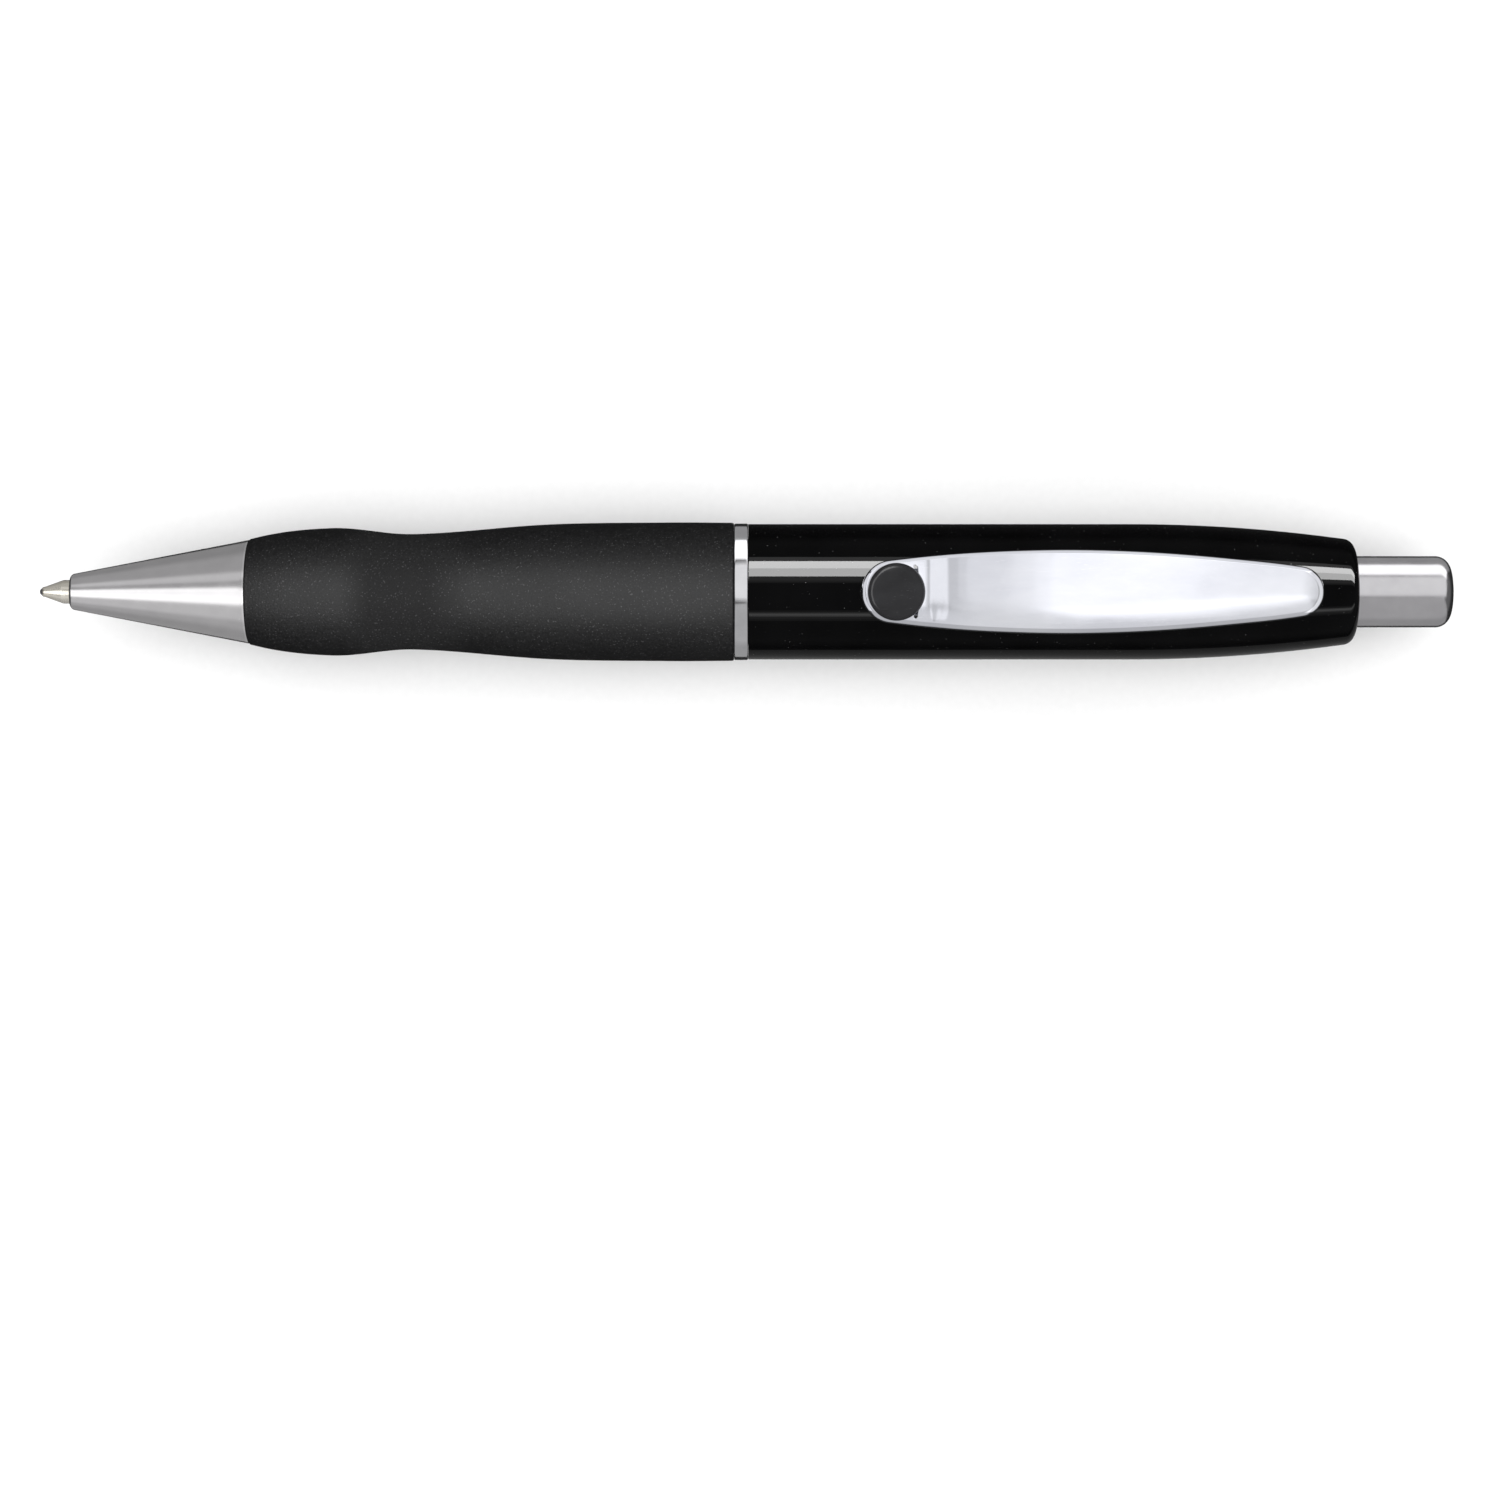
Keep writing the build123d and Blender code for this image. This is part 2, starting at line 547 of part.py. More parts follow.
def clip_tongue():
    """The strip that is folded under the eyelet and bears on the barrel."""
    path = FilletPolyline([(x, 0, z) for x, z in TONGUE_PATH], radius=TONGUE_BEND)
    section = Plane(origin=path @ 0, x_dir=(0, 1, 0), z_dir=path % 0)
    return sweep(section * Rectangle(2 * TONGUE_HALF_WIDTH, TONGUE_SHEET), path=path)


def clip():
    """A pressed clip with rolled edges, an eyelet at its free end and skirts at its heel."""
    shell = clip_outline(0) & clip_profile(rolled_edge, 0)
    top_faces = [face for face in shell.faces() if face.normal_at().Z > 0.7]
    rims = [edge for face in top_faces for edge in face.edges()
            if edge.geom_type != GeomType.LINE]
    shell = fillet(rims, CLIP_EDGE_ROUND)
    shell -= clip_outline(CLIP_SHEET) & clip_profile(open_below, CLIP_SHEET)
    shell += clip_tongue() & clip_outline(0)
    shell -= Pos(INSERT_X, 0, STEM_SHOULDER_Z) * Cylinder(
        STEM_RADIUS + FIT, CLIP_SPACE_TOP, align=(Align.CENTER, Align.CENTER, Align.MIN))
    shell -= Pos(SLOT_X, 0, STEM_SHOULDER_Z) * Box(
        SLOT_WIDTH, 2 * SLOT_HALF_LENGTH, CLIP_SPACE_TOP,
        align=(Align.CENTER, Align.CENTER, Align.MIN))
    return shell - barrel_envelope(CLIP_TO_BARREL)


def clip_insert():
    """The plastic button in the eyelet, with a stem that stiffens the tongue."""
    rise = EYELET_TOP_REAR[1] - EYELET_TOP_FRONT[1]
    run = EYELET_TOP_REAR[0] - EYELET_TOP_FRONT[0]
    seat_z = EYELET_TOP_FRONT[1] + rise * (INSERT_X - EYELET_TOP_FRONT[0]) / run + FIT
    disc = Cylinder(INSERT_RADIUS, INSERT_THICKNESS,
                    align=(Align.CENTER, Align.CENTER, Align.MIN))
    disc = fillet(disc.edges().sort_by(Axis.Z)[-1], INSERT_EDGE_ROUND)
    disc = Pos(INSERT_X, 0, seat_z) * Rot(0, -math.degrees(math.atan(rise / run)), 0) * disc
    shank = Pos(INSERT_X, 0, STEM_SHOULDER_Z)
    shank *= Cylinder(STEM_RADIUS, seat_z + BITE - STEM_SHOULDER_Z,
                      align=(Align.CENTER, Align.CENTER, Align.MIN))
    taper = Pos(INSERT_X, 0, STEM_TIP_Z)
    taper *= Cone(STEM_TIP_RADIUS, STEM_RADIUS, STEM_SHOULDER_Z - STEM_TIP_Z,
                  align=(Align.CENTER, Align.CENTER, Align.MIN))
    return disc + shank + taper


def clip_bracket():
    """The lug on the barrel that the clip's skirts straddle, with a foot in the barrel wall."""
    head = Pos(BRACKET_START, 0, 0)
    head *= Box(BRACKET_END - BRACKET_START, 2 * BRACKET_HALF_WIDTH, BRACKET_TOP_Z,
                align=(Align.MIN, Align.CENTER, Align.MIN))
    head -= barrel_envelope(FIT)
    foot = Pos(BRACKET_FOOT[0], 0, BRACKET_FOOT_Z)
    foot *= Box(BRACKET_FOOT[1] - BRACKET_FOOT[0], 2 * BRACKET_FOOT_HALF_WIDTH, BRACKET_FOOT_HEIGHT,
                align=(Align.MIN, Align.CENTER, Align.MIN))
    return head + foot


PIECES = {
    "writing_ball": writing_ball,
    "refill_point": refill_point,
    "refill_neck": refill_neck,
    "refill_tube": refill_tube,
    "refill_end_cap": refill_end_cap,
    "ink_column": ink_column,
    "return_spring": return_spring,
    "nose_cone": nose_cone,
    "lower_barrel": lower_barrel,
    "rubber_grip": rubber_grip,
    "centre_ring": centre_ring,
    "upper_barrel": upper_barrel,
    "cam_sleeve": cam_sleeve,
    "rotor": rotor,
    "thruster": thruster,
    "push_button": push_button,
    "clip": clip,
    "clip_insert": clip_insert,
    "clip_bracket": clip_bracket,
}


def main():
    os.makedirs("parts", exist_ok=True)
    for name, build in PIECES.items():
        export_step(place(build()), f"parts/{name}.step")
        print("wrote", name)


main()
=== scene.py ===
import functools
import math

import bmesh
import bpy
from mathutils import Matrix, Vector


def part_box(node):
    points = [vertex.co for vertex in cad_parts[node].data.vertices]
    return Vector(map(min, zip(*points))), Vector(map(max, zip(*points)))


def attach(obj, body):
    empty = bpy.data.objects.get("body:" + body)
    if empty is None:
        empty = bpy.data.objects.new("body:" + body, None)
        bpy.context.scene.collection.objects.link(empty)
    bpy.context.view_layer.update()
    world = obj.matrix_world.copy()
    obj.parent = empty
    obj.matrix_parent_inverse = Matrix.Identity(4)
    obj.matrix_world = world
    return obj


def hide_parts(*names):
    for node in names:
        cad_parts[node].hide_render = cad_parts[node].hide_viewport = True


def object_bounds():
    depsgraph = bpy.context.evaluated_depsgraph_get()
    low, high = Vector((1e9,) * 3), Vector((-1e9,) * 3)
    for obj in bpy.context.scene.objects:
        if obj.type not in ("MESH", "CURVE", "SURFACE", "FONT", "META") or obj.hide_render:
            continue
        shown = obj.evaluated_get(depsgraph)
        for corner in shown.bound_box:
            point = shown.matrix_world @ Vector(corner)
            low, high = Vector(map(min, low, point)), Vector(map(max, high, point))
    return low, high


# A retractable ballpoint pen that lies with its clip up, looked at from straight above.
# Lengths here are millimetres in pen coordinates: s runs along the axis from the ball to the
# button, y goes across, and h is the height above the axis. spot() puts them in the frame.

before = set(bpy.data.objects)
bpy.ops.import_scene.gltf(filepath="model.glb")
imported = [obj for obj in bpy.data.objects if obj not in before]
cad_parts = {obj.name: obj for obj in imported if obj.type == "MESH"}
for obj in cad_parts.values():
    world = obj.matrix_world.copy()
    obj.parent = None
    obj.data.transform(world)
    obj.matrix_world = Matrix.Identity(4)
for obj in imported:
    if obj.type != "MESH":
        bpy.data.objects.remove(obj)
cad_low, cad_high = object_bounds()

MM = 0.001
cad_box = functools.cache(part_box)
TIP_X = cad_box("writing_ball")[0].x
AXIS_Z = (cad_box("rubber_grip")[0].z + cad_box("rubber_grip")[1].z) / 2
TURN_STEPS = 160            # flats round a turned piece


def spot(s, y, h):
    """A place in pen coordinates, in the frame's metres."""
    return Vector((TIP_X + s * MM, y * MM, AXIS_Z + h * MM))


def start_of(node):
    """Where a CAD node starts along the pen."""
    return (cad_box(node)[0].x - TIP_X) / MM


def end_of(node):
    """Where a CAD node ends along the pen."""
    return (cad_box(node)[1].x - TIP_X) / MM


def radius_of(node):
    """Half of a CAD node's width."""
    return (cad_box(node)[1].y - cad_box(node)[0].y) / MM / 2


# ---- curves --------------------------------------------------------------------------------
def arc(centre_s, centre_r, radius, from_angle, to_angle, steps=10):
    """Points on an arc in the half plane of s and radius. Angles run from +s towards +radius."""
    angles = [from_angle + (to_angle - from_angle) * i / steps for i in range(steps + 1)]
    return [(centre_s + radius * math.cos(math.radians(a)),
             centre_r + radius * math.sin(math.radians(a))) for a in angles]


def smooth(points, first_slope=None, last_slope=None):
    """A smooth function through (x, value) points."""
    slopes = []
    for i, (x, value) in enumerate(points):
        before = points[max(i - 1, 0)]
        after = points[min(i + 1, len(points) - 1)]
        slopes.append((after[1] - before[1]) / (after[0] - before[0]))
    if first_slope is not None:
        slopes[0] = first_slope
    if last_slope is not None:
        slopes[-1] = last_slope

    def value_at(x):
        x = min(max(x, points[0][0]), points[-1][0])
        i = next(k for k in range(len(points) - 1) if x <= points[k + 1][0])
        (x0, v0), (x1, v1) = points[i], points[i + 1]
        width = x1 - x0
        t = (x - x0) / width
        return (v0 * (1 + 2 * t) * (1 - t) ** 2 + slopes[i] * width * t * (1 - t) ** 2
                + v1 * t * t * (3 - 2 * t) - slopes[i + 1] * width * t * t * (1 - t))
    return value_at


def straight(points):
    """A function that runs in straight lines through (x, value) points."""
    def value_at(x):
        x = min(max(x, points[0][0]), points[-1][0])
        i = next(k for k in range(len(points) - 1) if x <= points[k + 1][0])
        (x0, v0), (x1, v1) = points[i], points[i + 1]
        return v0 + (v1 - v0) * (x - x0) / (x1 - x0)
    return value_at


def steps_between(low, high, spacing):
    """Even steps from low to high, ends included, as near to this spacing as fits."""
    count = max(1, round(abs(high - low) / spacing))
    return [low + (high - low) * i / count for i in range(count + 1)]


# ---- meshes --------------------------------------------------------------------------------
def finish_mesh(name, bm, sharp_angle=35):
    """Makes the object: one closed, smooth-shaded mesh, with the edges that turn by more than
    the sharp angle kept sharp."""
    bmesh.ops.remove_doubles(bm, verts=bm.verts, dist=1e-7)
    bmesh.ops.dissolve_degenerate(bm, edges=bm.edges, dist=1e-8)
    bmesh.ops.recalc_face_normals(bm, faces=bm.faces)
    for face in bm.faces:
        face.smooth = True
    for edge in bm.edges:
        edge.smooth = edge.calc_face_angle(0) < math.radians(sharp_angle)
    mesh = bpy.data.meshes.new(name)
    bm.to_mesh(mesh)
    bm.free()
    piece = bpy.data.objects.new(name, mesh)
    bpy.context.scene.collection.objects.link(piece)
    return piece


def turned(name, outline, place=spot):
    """A solid turned from a closed outline of (s, radius) points, about the pen's axis or,
    with another place function, about the axis where that puts it."""
    bm = bmesh.new()
    rings = []
    for s, radius in outline:
        ring = []
        for step in range(TURN_STEPS):
            angle = 2 * math.pi * step / TURN_STEPS
            ring.append(bm.verts.new(place(s, radius * math.cos(angle), radius * math.sin(angle))))
        rings.append(ring)
    for ring, following in zip(rings, rings[1:] + rings[:1]):
        for step in range(TURN_STEPS):
            after = (step + 1) % TURN_STEPS
            bm.faces.new((ring[step], ring[after], following[after], following[step]))
    return finish_mesh(name, bm)


def dress(piece, body, node, material):
    """Puts a piece on its body, in place of its CAD node, with its material."""
    piece.data.materials.append(material)
    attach(piece, body)
    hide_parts(node)
    return piece


# ---- materials -----------------------------------------------------------------------------
class Surface:
    """A Principled material whose colour, roughness and relief come from layers of noise."""

    def __init__(self, name, **sockets):
        self.material = bpy.data.materials.new(name)
        self.material.use_nodes = True
        self.tree = self.material.node_tree
        self.shader = self.tree.nodes["Principled BSDF"]
        self.place = self.tree.nodes.new("ShaderNodeTexCoord").outputs["Object"]
        for socket, value in sockets.items():
            self.shader.inputs[socket.replace("_", " ")].default_value = value

    def node(self, kind, **settings):
        made = self.tree.nodes.new(kind)
        for setting, value in settings.items():
            setattr(made, setting, value)
        return made

    def link(self, output, socket):
        self.tree.links.new(output, socket)

    def noise(self, grain, detail=3.0, stretch=(1, 1, 1), rough=0.5):
        """Noise whose grains are this many millimetres across, times the stretch."""
        mapping = self.node("ShaderNodeMapping")
        mapping.inputs["Scale"].default_value = [1 / (grain * MM * share) for share in stretch]
        self.link(self.place, mapping.inputs["Vector"])
        texture = self.node("ShaderNodeTexNoise")
        texture.inputs["Scale"].default_value = 1.0
        texture.inputs["Detail"].default_value = detail
        texture.inputs["Roughness"].default_value = rough
        self.link(mapping.outputs["Vector"], texture.inputs["Vector"])
        return texture.outputs["Fac"]

    def spread(self, value, low, high, to_low=0.0, to_high=1.0):
        """Stretches the part of a value between low and high to a new range."""
        change = self.node("ShaderNodeMapRange")
        for socket, number in (("From Min", low), ("From Max", high),
                               ("To Min", to_low), ("To Max", to_high)):
            change.inputs[socket].default_value = number
        self.link(value, change.inputs["Value"])
        return change.outputs["Result"]

    def combine(self, operation, first, second):
        """One sum on a value and another value or a number."""
        step = self.node("ShaderNodeMath", operation=operation)
        self.link(first, step.inputs[0])
        if isinstance(second, (int, float)):
            step.inputs[1].default_value = second
        else:
            self.link(second, step.inputs[1])
        return step.outputs["Value"]

    def along(self, axis="X"):
        """Distance along an axis of the frame, in metres."""
        split = self.node("ShaderNodeSeparateXYZ")
        self.link(self.place, split.inputs["Vector"])
        return split.outputs[axis]

    def colour(self, dark, light, share, wear=None, worn=None):
        """Base colour between two colours, and a third where the wear is."""
        blend = self.node("ShaderNodeMix", data_type="RGBA")
        blend.inputs["A"].default_value = (*dark, 1)
        blend.inputs["B"].default_value = (*light, 1)
        self.link(share, blend.inputs["Factor"])
        result = blend.outputs["Result"]
        if wear is not None:
            over = self.node("ShaderNodeMix", data_type="RGBA")
            self.link(result, over.inputs["A"])
            over.inputs["B"].default_value = (*worn, 1)
            self.link(wear, over.inputs["Factor"])
            result = over.outputs["Result"]
        self.link(result, self.shader.inputs["Base Color"])

    def roughness(self, value):
        self.link(value, self.shader.inputs["Roughness"])

    def relief(self, *layers):
        """Bumps one over another: (height value, depth in millimetres)."""
        normal = None
        for height, depth in layers:
            bump = self.node("ShaderNodeBump")
            bump.inputs["Strength"].default_value = 1.0
            bump.inputs["Distance"].default_value = depth * MM
            self.link(height, bump.inputs["Height"])
            if normal is not None:
                self.link(normal, bump.inputs["Normal"])
            normal = bump.outputs["Normal"]
        self.link(normal, self.shader.inputs["Normal"])


def turned_metal(name, dark, light, rough, lines=0.05, line_depth=0.0004, edge=None):
    """Turned metal: fine lines round the axis, smudges, a few dents, and bright worn edges."""
    look = Surface(name, Metallic=1.0)
    fine = look.noise(lines, detail=2, stretch=(1, 60, 60))
    broad = look.noise(2.5, detail=4)
    dents = look.spread(look.noise(0.20, detail=1), 0.80, 0.86)
    wear = dents
    if edge is not None:
        near = look.spread(look.along(), edge - 0.25 * MM, edge - 0.05 * MM)
        wear = look.combine("MAXIMUM", dents, near)
    bright = [min(1.0, share * 1.25) for share in light]
    look.colour(dark, light, look.spread(broad, 0.35, 0.65), wear, bright)
    scratched = look.spread(fine, 0.3, 0.7, -0.03, 0.03)
    look.roughness(look.combine("ADD", look.spread(broad, 0.3, 0.7, *rough), scratched))
    look.relief((fine, line_depth), (dents, 0.001))
    return look.material


def chrome(name):
    """Bright plating over pressed sheet: almost a mirror, with smears and hairline scratches."""
    look = Surface(name, Metallic=1.0)
    smears = look.noise(4.0, detail=5, stretch=(3, 1, 1))
    hairs = look.noise(0.05, detail=1, stretch=(40, 1, 1))
    waves = look.noise(6.0, detail=1)
    scratch = look.spread(hairs, 0.68, 0.74)
    look.colour((0.72, 0.73, 0.79), (0.82, 0.83, 0.88), look.spread(smears, 0.35, 0.65),
                look.combine("MULTIPLY", scratch, 0.5), (0.92, 0.92, 0.95))
    look.roughness(look.combine("ADD", look.spread(smears, 0.35, 0.7, 0.07, 0.15),
                                look.combine("MULTIPLY", scratch, 0.1)))
    look.relief((waves, 0.01), (hairs, 0.0002))
    return look.material


def gloss_lacquer(name):
    """Deep black lacquer: faint orange peel, hairlines, and specks of dust."""
    look = Surface(name, Specular_IOR_Level=0.18)
    peel = look.noise(1.6, detail=2)
    hairs = look.noise(0.06, detail=1, stretch=(60, 1, 1))
    cloud = look.noise(5.0, detail=4)
    dust = look.spread(look.noise(0.14, detail=0), 0.855, 0.875)
    look.colour((0.0008, 0.0008, 0.0009), (0.0020, 0.0020, 0.0022),
                look.spread(cloud, 0.3, 0.7), dust, (0.10, 0.10, 0.10))
    scratch = look.spread(hairs, 0.68, 0.78, 0.0, 0.03)
    base = look.combine("ADD", look.spread(cloud, 0.3, 0.7, 0.022, 0.040), scratch)
    look.roughness(look.combine("ADD", base, look.combine("MULTIPLY", dust, 0.3)))
    look.relief((peel, 0.0008), (hairs, 0.0001))
    return look.material


WAIST = (30.5, 33.5, 39.0, 43.5)    # the fingers have dulled the grip between these s


def soft_rubber(name):
    """Matt black rubber with a fine spark-eroded grain and pale specks, duller at its waist."""
    look = Surface(name, Specular_IOR_Level=0.12)
    grain = look.noise(0.20, detail=2, rough=0.6)
    pores = look.noise(0.45, detail=3)
    rubbed = look.noise(9.0, detail=4)
    specks = look.spread(look.noise(0.16, detail=0), 0.70, 0.80)
    look.colour((0.0030, 0.0030, 0.0032), (0.0080, 0.0080, 0.0084), look.spread(grain, 0.35, 0.65),
                look.combine("MULTIPLY", specks, 0.7), (0.050, 0.050, 0.052))
    before, after = [look.spread(look.along(), spot(low, 0, 0).x, spot(high, 0, 0).x)
                     for low, high in (WAIST[:2], WAIST[:1:-1])]
    dulled = look.combine("MULTIPLY", before, after)
    rough = look.combine("ADD", look.spread(rubbed, 0.35, 0.7, 0.60, 0.54),
                         look.combine("MULTIPLY", dulled, 0.25))
    look.roughness(look.combine("ADD", rough, look.spread(grain, 0.3, 0.7, -0.05, 0.05)))
    look.relief((pores, 0.015), (grain, 0.030))
    return look.material


def moulded_plastic(name, dark, light, rough, grain=0.2, depth=0.002):
    """Moulded plastic: a fine grain, faint flow marks and handling wear."""
    look = Surface(name)
    flow = look.noise(3.0, detail=4, stretch=(2, 1, 1))
    fine = look.noise(grain, detail=2)
    hairs = look.spread(look.noise(0.05, detail=1, stretch=(30, 1, 1)), 0.68, 0.76)
    look.colour(dark, light, look.spread(flow, 0.3, 0.7),
                look.combine("MULTIPLY", hairs, 0.25), [share * 1.8 + 0.02 for share in light])
    look.roughness(look.combine("ADD", look.spread(flow, 0.3, 0.7, *rough),
                                look.combine("MULTIPLY", hairs, 0.12)))
    look.relief((fine, depth), (flow, depth))
    return look.material


def ink_paste(name):
    """Thick dark ink with streaks from its flow."""
    look = Surface(name, Specular_IOR_Level=0.6)
    streaks = look.noise(0.8, detail=4, stretch=(6, 1, 1))
    look.colour((0.004, 0.004, 0.02), (0.012, 0.012, 0.05), look.spread(streaks, 0.3, 0.7))
    look.roughness(look.spread(streaks, 0.3, 0.7, 0.12, 0.3))
    look.relief((streaks, 0.01))
    return look.material


# ---- turned pieces -------------------------------------------------------------------------
# Pairs are (s, radius) unless a note says otherwise.
GAP = 0.02                  # between neighbours of one body

CONE_FRONT_RADIUS = 1.71
CONE_REAR_RADIUS = 5.19
CONE_NOSE_ROUND = 0.45
CONE_EDGE = 0.10
CONE_HOLE_EDGE = (0.06, 0.05)   # along the pen and across it
CONE_SPIGOT_RADIUS = 4.00
CONE_BORES = [(16.0, 2.15), (17.5, 3.20)]   # where each ends: the spring's, the refill's
POINT_HOLE = 1.24
SPRING_SEAT = 8.2

GRIP_FRONT_RADIUS = 5.26
GRIP_SIDE = [(29.3, 6.37), (37.2, 5.77), (51.0, 6.74), (63.0, 6.93)]
GRIP_REAR_RADIUS = 6.90
GRIP_BORES = [(57.0, 4.74), (60.0, 5.62)]
GRIP_LIP = 0.18

RING_BORE = 5.34
RING_EDGE = 0.15

TAPER_START = 109.0
TAPER_ARC = 155.0
BARREL_END_ROUND = 1.15
BARREL_EDGE = 0.08
BARREL_BORE = 5.00
BARREL_SOCKET_END = 80.0
BARREL_BORE_END = 125.3
BUTTON_HOLE = 3.64
BUTTON_HOLE_EDGE = 0.12

BUTTON_BORE = 3.10
BUTTON_FRONT_EDGE = 0.10
BUTTON_EDGE_ROUND = 1.45
BUTTON_DOME = 0.25
BUTTON_WALL_END = 139.4

POINT_RADIUS = 1.18
POINT_CONE_END = 2.35
POINT_RIM = 0.45
POINT_LIP = [(0.01, -0.03), (0.06, 0.02), (0.30, 0.075)]      # past the front, over the rim
POINT_SHOULDER = [(-0.12, -0.05), (0.0, -0.01), (0.10, 0.0)]  # past the cone, over its end
POINT_SHANK = (12.0, 0.90)
BALL_RADIUS = 0.40
BALL_GAP = 0.02
POINT_SOCKET = [(2 * BALL_RADIUS, 0.0), (1.8 * BALL_RADIUS, 0.6 * BALL_RADIUS),
                (BALL_RADIUS, BALL_RADIUS + 0.015)]


def nose_cone():
    """The metal cone, with its front edge rounded over, and its hollow for the spring."""
    start, rear = start_of("nose_cone"), start_of("rubber_grip") - GAP
    lean = math.degrees(math.atan((CONE_REAR_RADIUS - CONE_FRONT_RADIUS) / (rear - start)))
    round_s = start + CONE_NOSE_ROUND
    round_r = CONE_FRONT_RADIUS - CONE_NOSE_ROUND * 0.75
    (chamber_end, chamber), (bore_end, rear_bore) = CONE_BORES
    along, across = CONE_HOLE_EDGE
    outline = [(start + along, POINT_HOLE), (start, POINT_HOLE + across)]
    outline += arc(round_s, round_r, CONE_NOSE_ROUND, 180, 90 + lean, 12)
    edge = outline[-1]
    for s in steps_between(edge[0], rear - CONE_EDGE, 0.6)[1:]:
        share = (s - edge[0]) / (rear - edge[0])
        outline.append((s, edge[1] + (CONE_REAR_RADIUS - edge[1]) * share))
    outline += [(rear - CONE_EDGE * 0.3, CONE_REAR_RADIUS - CONE_EDGE * 0.2),
                (rear, CONE_REAR_RADIUS - CONE_EDGE)]
    outline += [(rear, CONE_SPIGOT_RADIUS), (end_of("nose_cone"), CONE_SPIGOT_RADIUS),
                (end_of("nose_cone"), rear_bore), (bore_end, rear_bore),
                (chamber_end, chamber), (SPRING_SEAT, chamber), (SPRING_SEAT, POINT_HOLE)]
    metal = turned_metal("cone satin nickel", (0.63, 0.62, 0.63), (0.67, 0.66, 0.67),
                         (0.17, 0.21), edge=spot(rear, 0, 0).x)
    return dress(turned("nose_cone_turned", outline), "barrel", "nose_cone", metal)


def rubber_grip():
    """The sleeve: swollen under the fingertips, with a waist, and stepped inside."""
    start, end = start_of("rubber_grip"), end_of("rubber_grip")
    (step_start, bore), (step_end, rear_bore) = GRIP_BORES
    side = smooth([(start, GRIP_FRONT_RADIUS)] + GRIP_SIDE + [(end, GRIP_REAR_RADIUS)],
                  first_slope=0.27, last_slope=-0.008)
    outline = [(start, bore), (start, GRIP_FRONT_RADIUS - GRIP_LIP)]
    outline += arc(start + GRIP_LIP, side(start + GRIP_LIP) - GRIP_LIP, GRIP_LIP, 165, 105, 4)
    outline += [(s, side(s)) for s in steps_between(start + GRIP_LIP, end - GRIP_LIP, 0.3)]
    outline += arc(end - GRIP_LIP, GRIP_REAR_RADIUS - GRIP_LIP, GRIP_LIP, 75, 0, 5)
    outline += [(end, rear_bore), (step_end, rear_bore), (step_start, bore)]
    return dress(turned("rubber_grip_moulded", outline), "barrel", "rubber_grip",
                 soft_rubber("grip soft rubber"))


def centre_ring():
    """The plain ring between the grip and the rear barrel."""
    start, end, radius = start_of("centre_ring"), end_of("centre_ring"), radius_of("centre_ring")
    outline = [(start, RING_BORE)]
    outline += arc(start + RING_EDGE, radius - RING_EDGE, RING_EDGE, 180, 90, 6)
    outline += arc(end - RING_EDGE, radius - RING_EDGE, RING_EDGE, 90, 0, 6)
    outline += [(end, RING_BORE)]
    metal = turned_metal("ring polished", (0.68, 0.68, 0.70), (0.76, 0.76, 0.78), (0.06, 0.11),
                         lines=0.04, line_depth=0.0002)
    return dress(turned("centre_ring_polished", outline), "barrel", "centre_ring",
                 metal)


def barrel_radius(s):
    """Outside radius of the rear barrel: a cylinder, then a long tangent arc."""
    past = max(0.0, s - TAPER_START)
    return radius_of("upper_barrel") - TAPER_ARC + math.sqrt(TAPER_ARC ** 2 - past ** 2)


def upper_barrel():
    """The rear barrel: its outside, the button's hole, the bore and the thread's socket."""
    start, end = start_of("upper_barrel"), end_of("upper_barrel")
    radius = radius_of("upper_barrel")
    round_s = end - BARREL_END_ROUND
    lean = math.degrees(math.asin((round_s - TAPER_START) / TAPER_ARC))
    outline = [(start, RING_BORE), (start, radius - BARREL_EDGE)]
    outline += arc(start + BARREL_EDGE, radius - BARREL_EDGE, BARREL_EDGE, 150, 90, 4)
    outline += [(s, radius) for s in steps_between(start + 1, TAPER_START, 2.0)]
    outline += [(s, barrel_radius(s)) for s in steps_between(TAPER_START, round_s, 0.5)[1:-1]]
    outline += arc(round_s, barrel_radius(round_s) - BARREL_END_ROUND, BARREL_END_ROUND,
                   90 - lean, 0, 14)
    outline += [(end, BUTTON_HOLE + BUTTON_HOLE_EDGE), (end - BUTTON_HOLE_EDGE, BUTTON_HOLE),
                (BARREL_BORE_END, BUTTON_HOLE), (BARREL_BORE_END, BARREL_BORE),
                (BARREL_SOCKET_END, BARREL_BORE), (BARREL_SOCKET_END, RING_BORE)]
    return dress(turned("upper_barrel_lacquered", outline), "barrel", "upper_barrel",
                 gloss_lacquer("barrel black lacquer"))


def push_button():
    """The drawn metal cap, a little domed at its closed end."""
    start, end, radius = start_of("push_button"), end_of("push_button"), radius_of("push_button")
    edge = end - BUTTON_DOME
    round_s, round_r = edge - BUTTON_EDGE_ROUND, radius - BUTTON_EDGE_ROUND
    outline = [(start, BUTTON_BORE), (start, radius - BUTTON_FRONT_EDGE),
               (start + BUTTON_FRONT_EDGE, radius)]
    outline += [(s, radius) for s in steps_between(start + 0.5, round_s - 0.2, 0.6)]
    outline += arc(round_s, round_r, BUTTON_EDGE_ROUND, 90, 8, 16)
    rim_s, rim_r = outline[-1]
    for share in (0.8, 0.6, 0.4, 0.2, 0.08):
        outline.append((end - (end - rim_s) * share ** 2, rim_r * share))
    outline += [(end, 0.0), (BUTTON_WALL_END, 0.0), (BUTTON_WALL_END, BUTTON_BORE)]
    metal = turned_metal("button satin nickel", (0.60, 0.59, 0.61), (0.65, 0.64, 0.66),
                         (0.17, 0.22), lines=0.06, line_depth=0.0003)
    return dress(turned("push_button_drawn", outline), "button", "push_button",
                 metal)


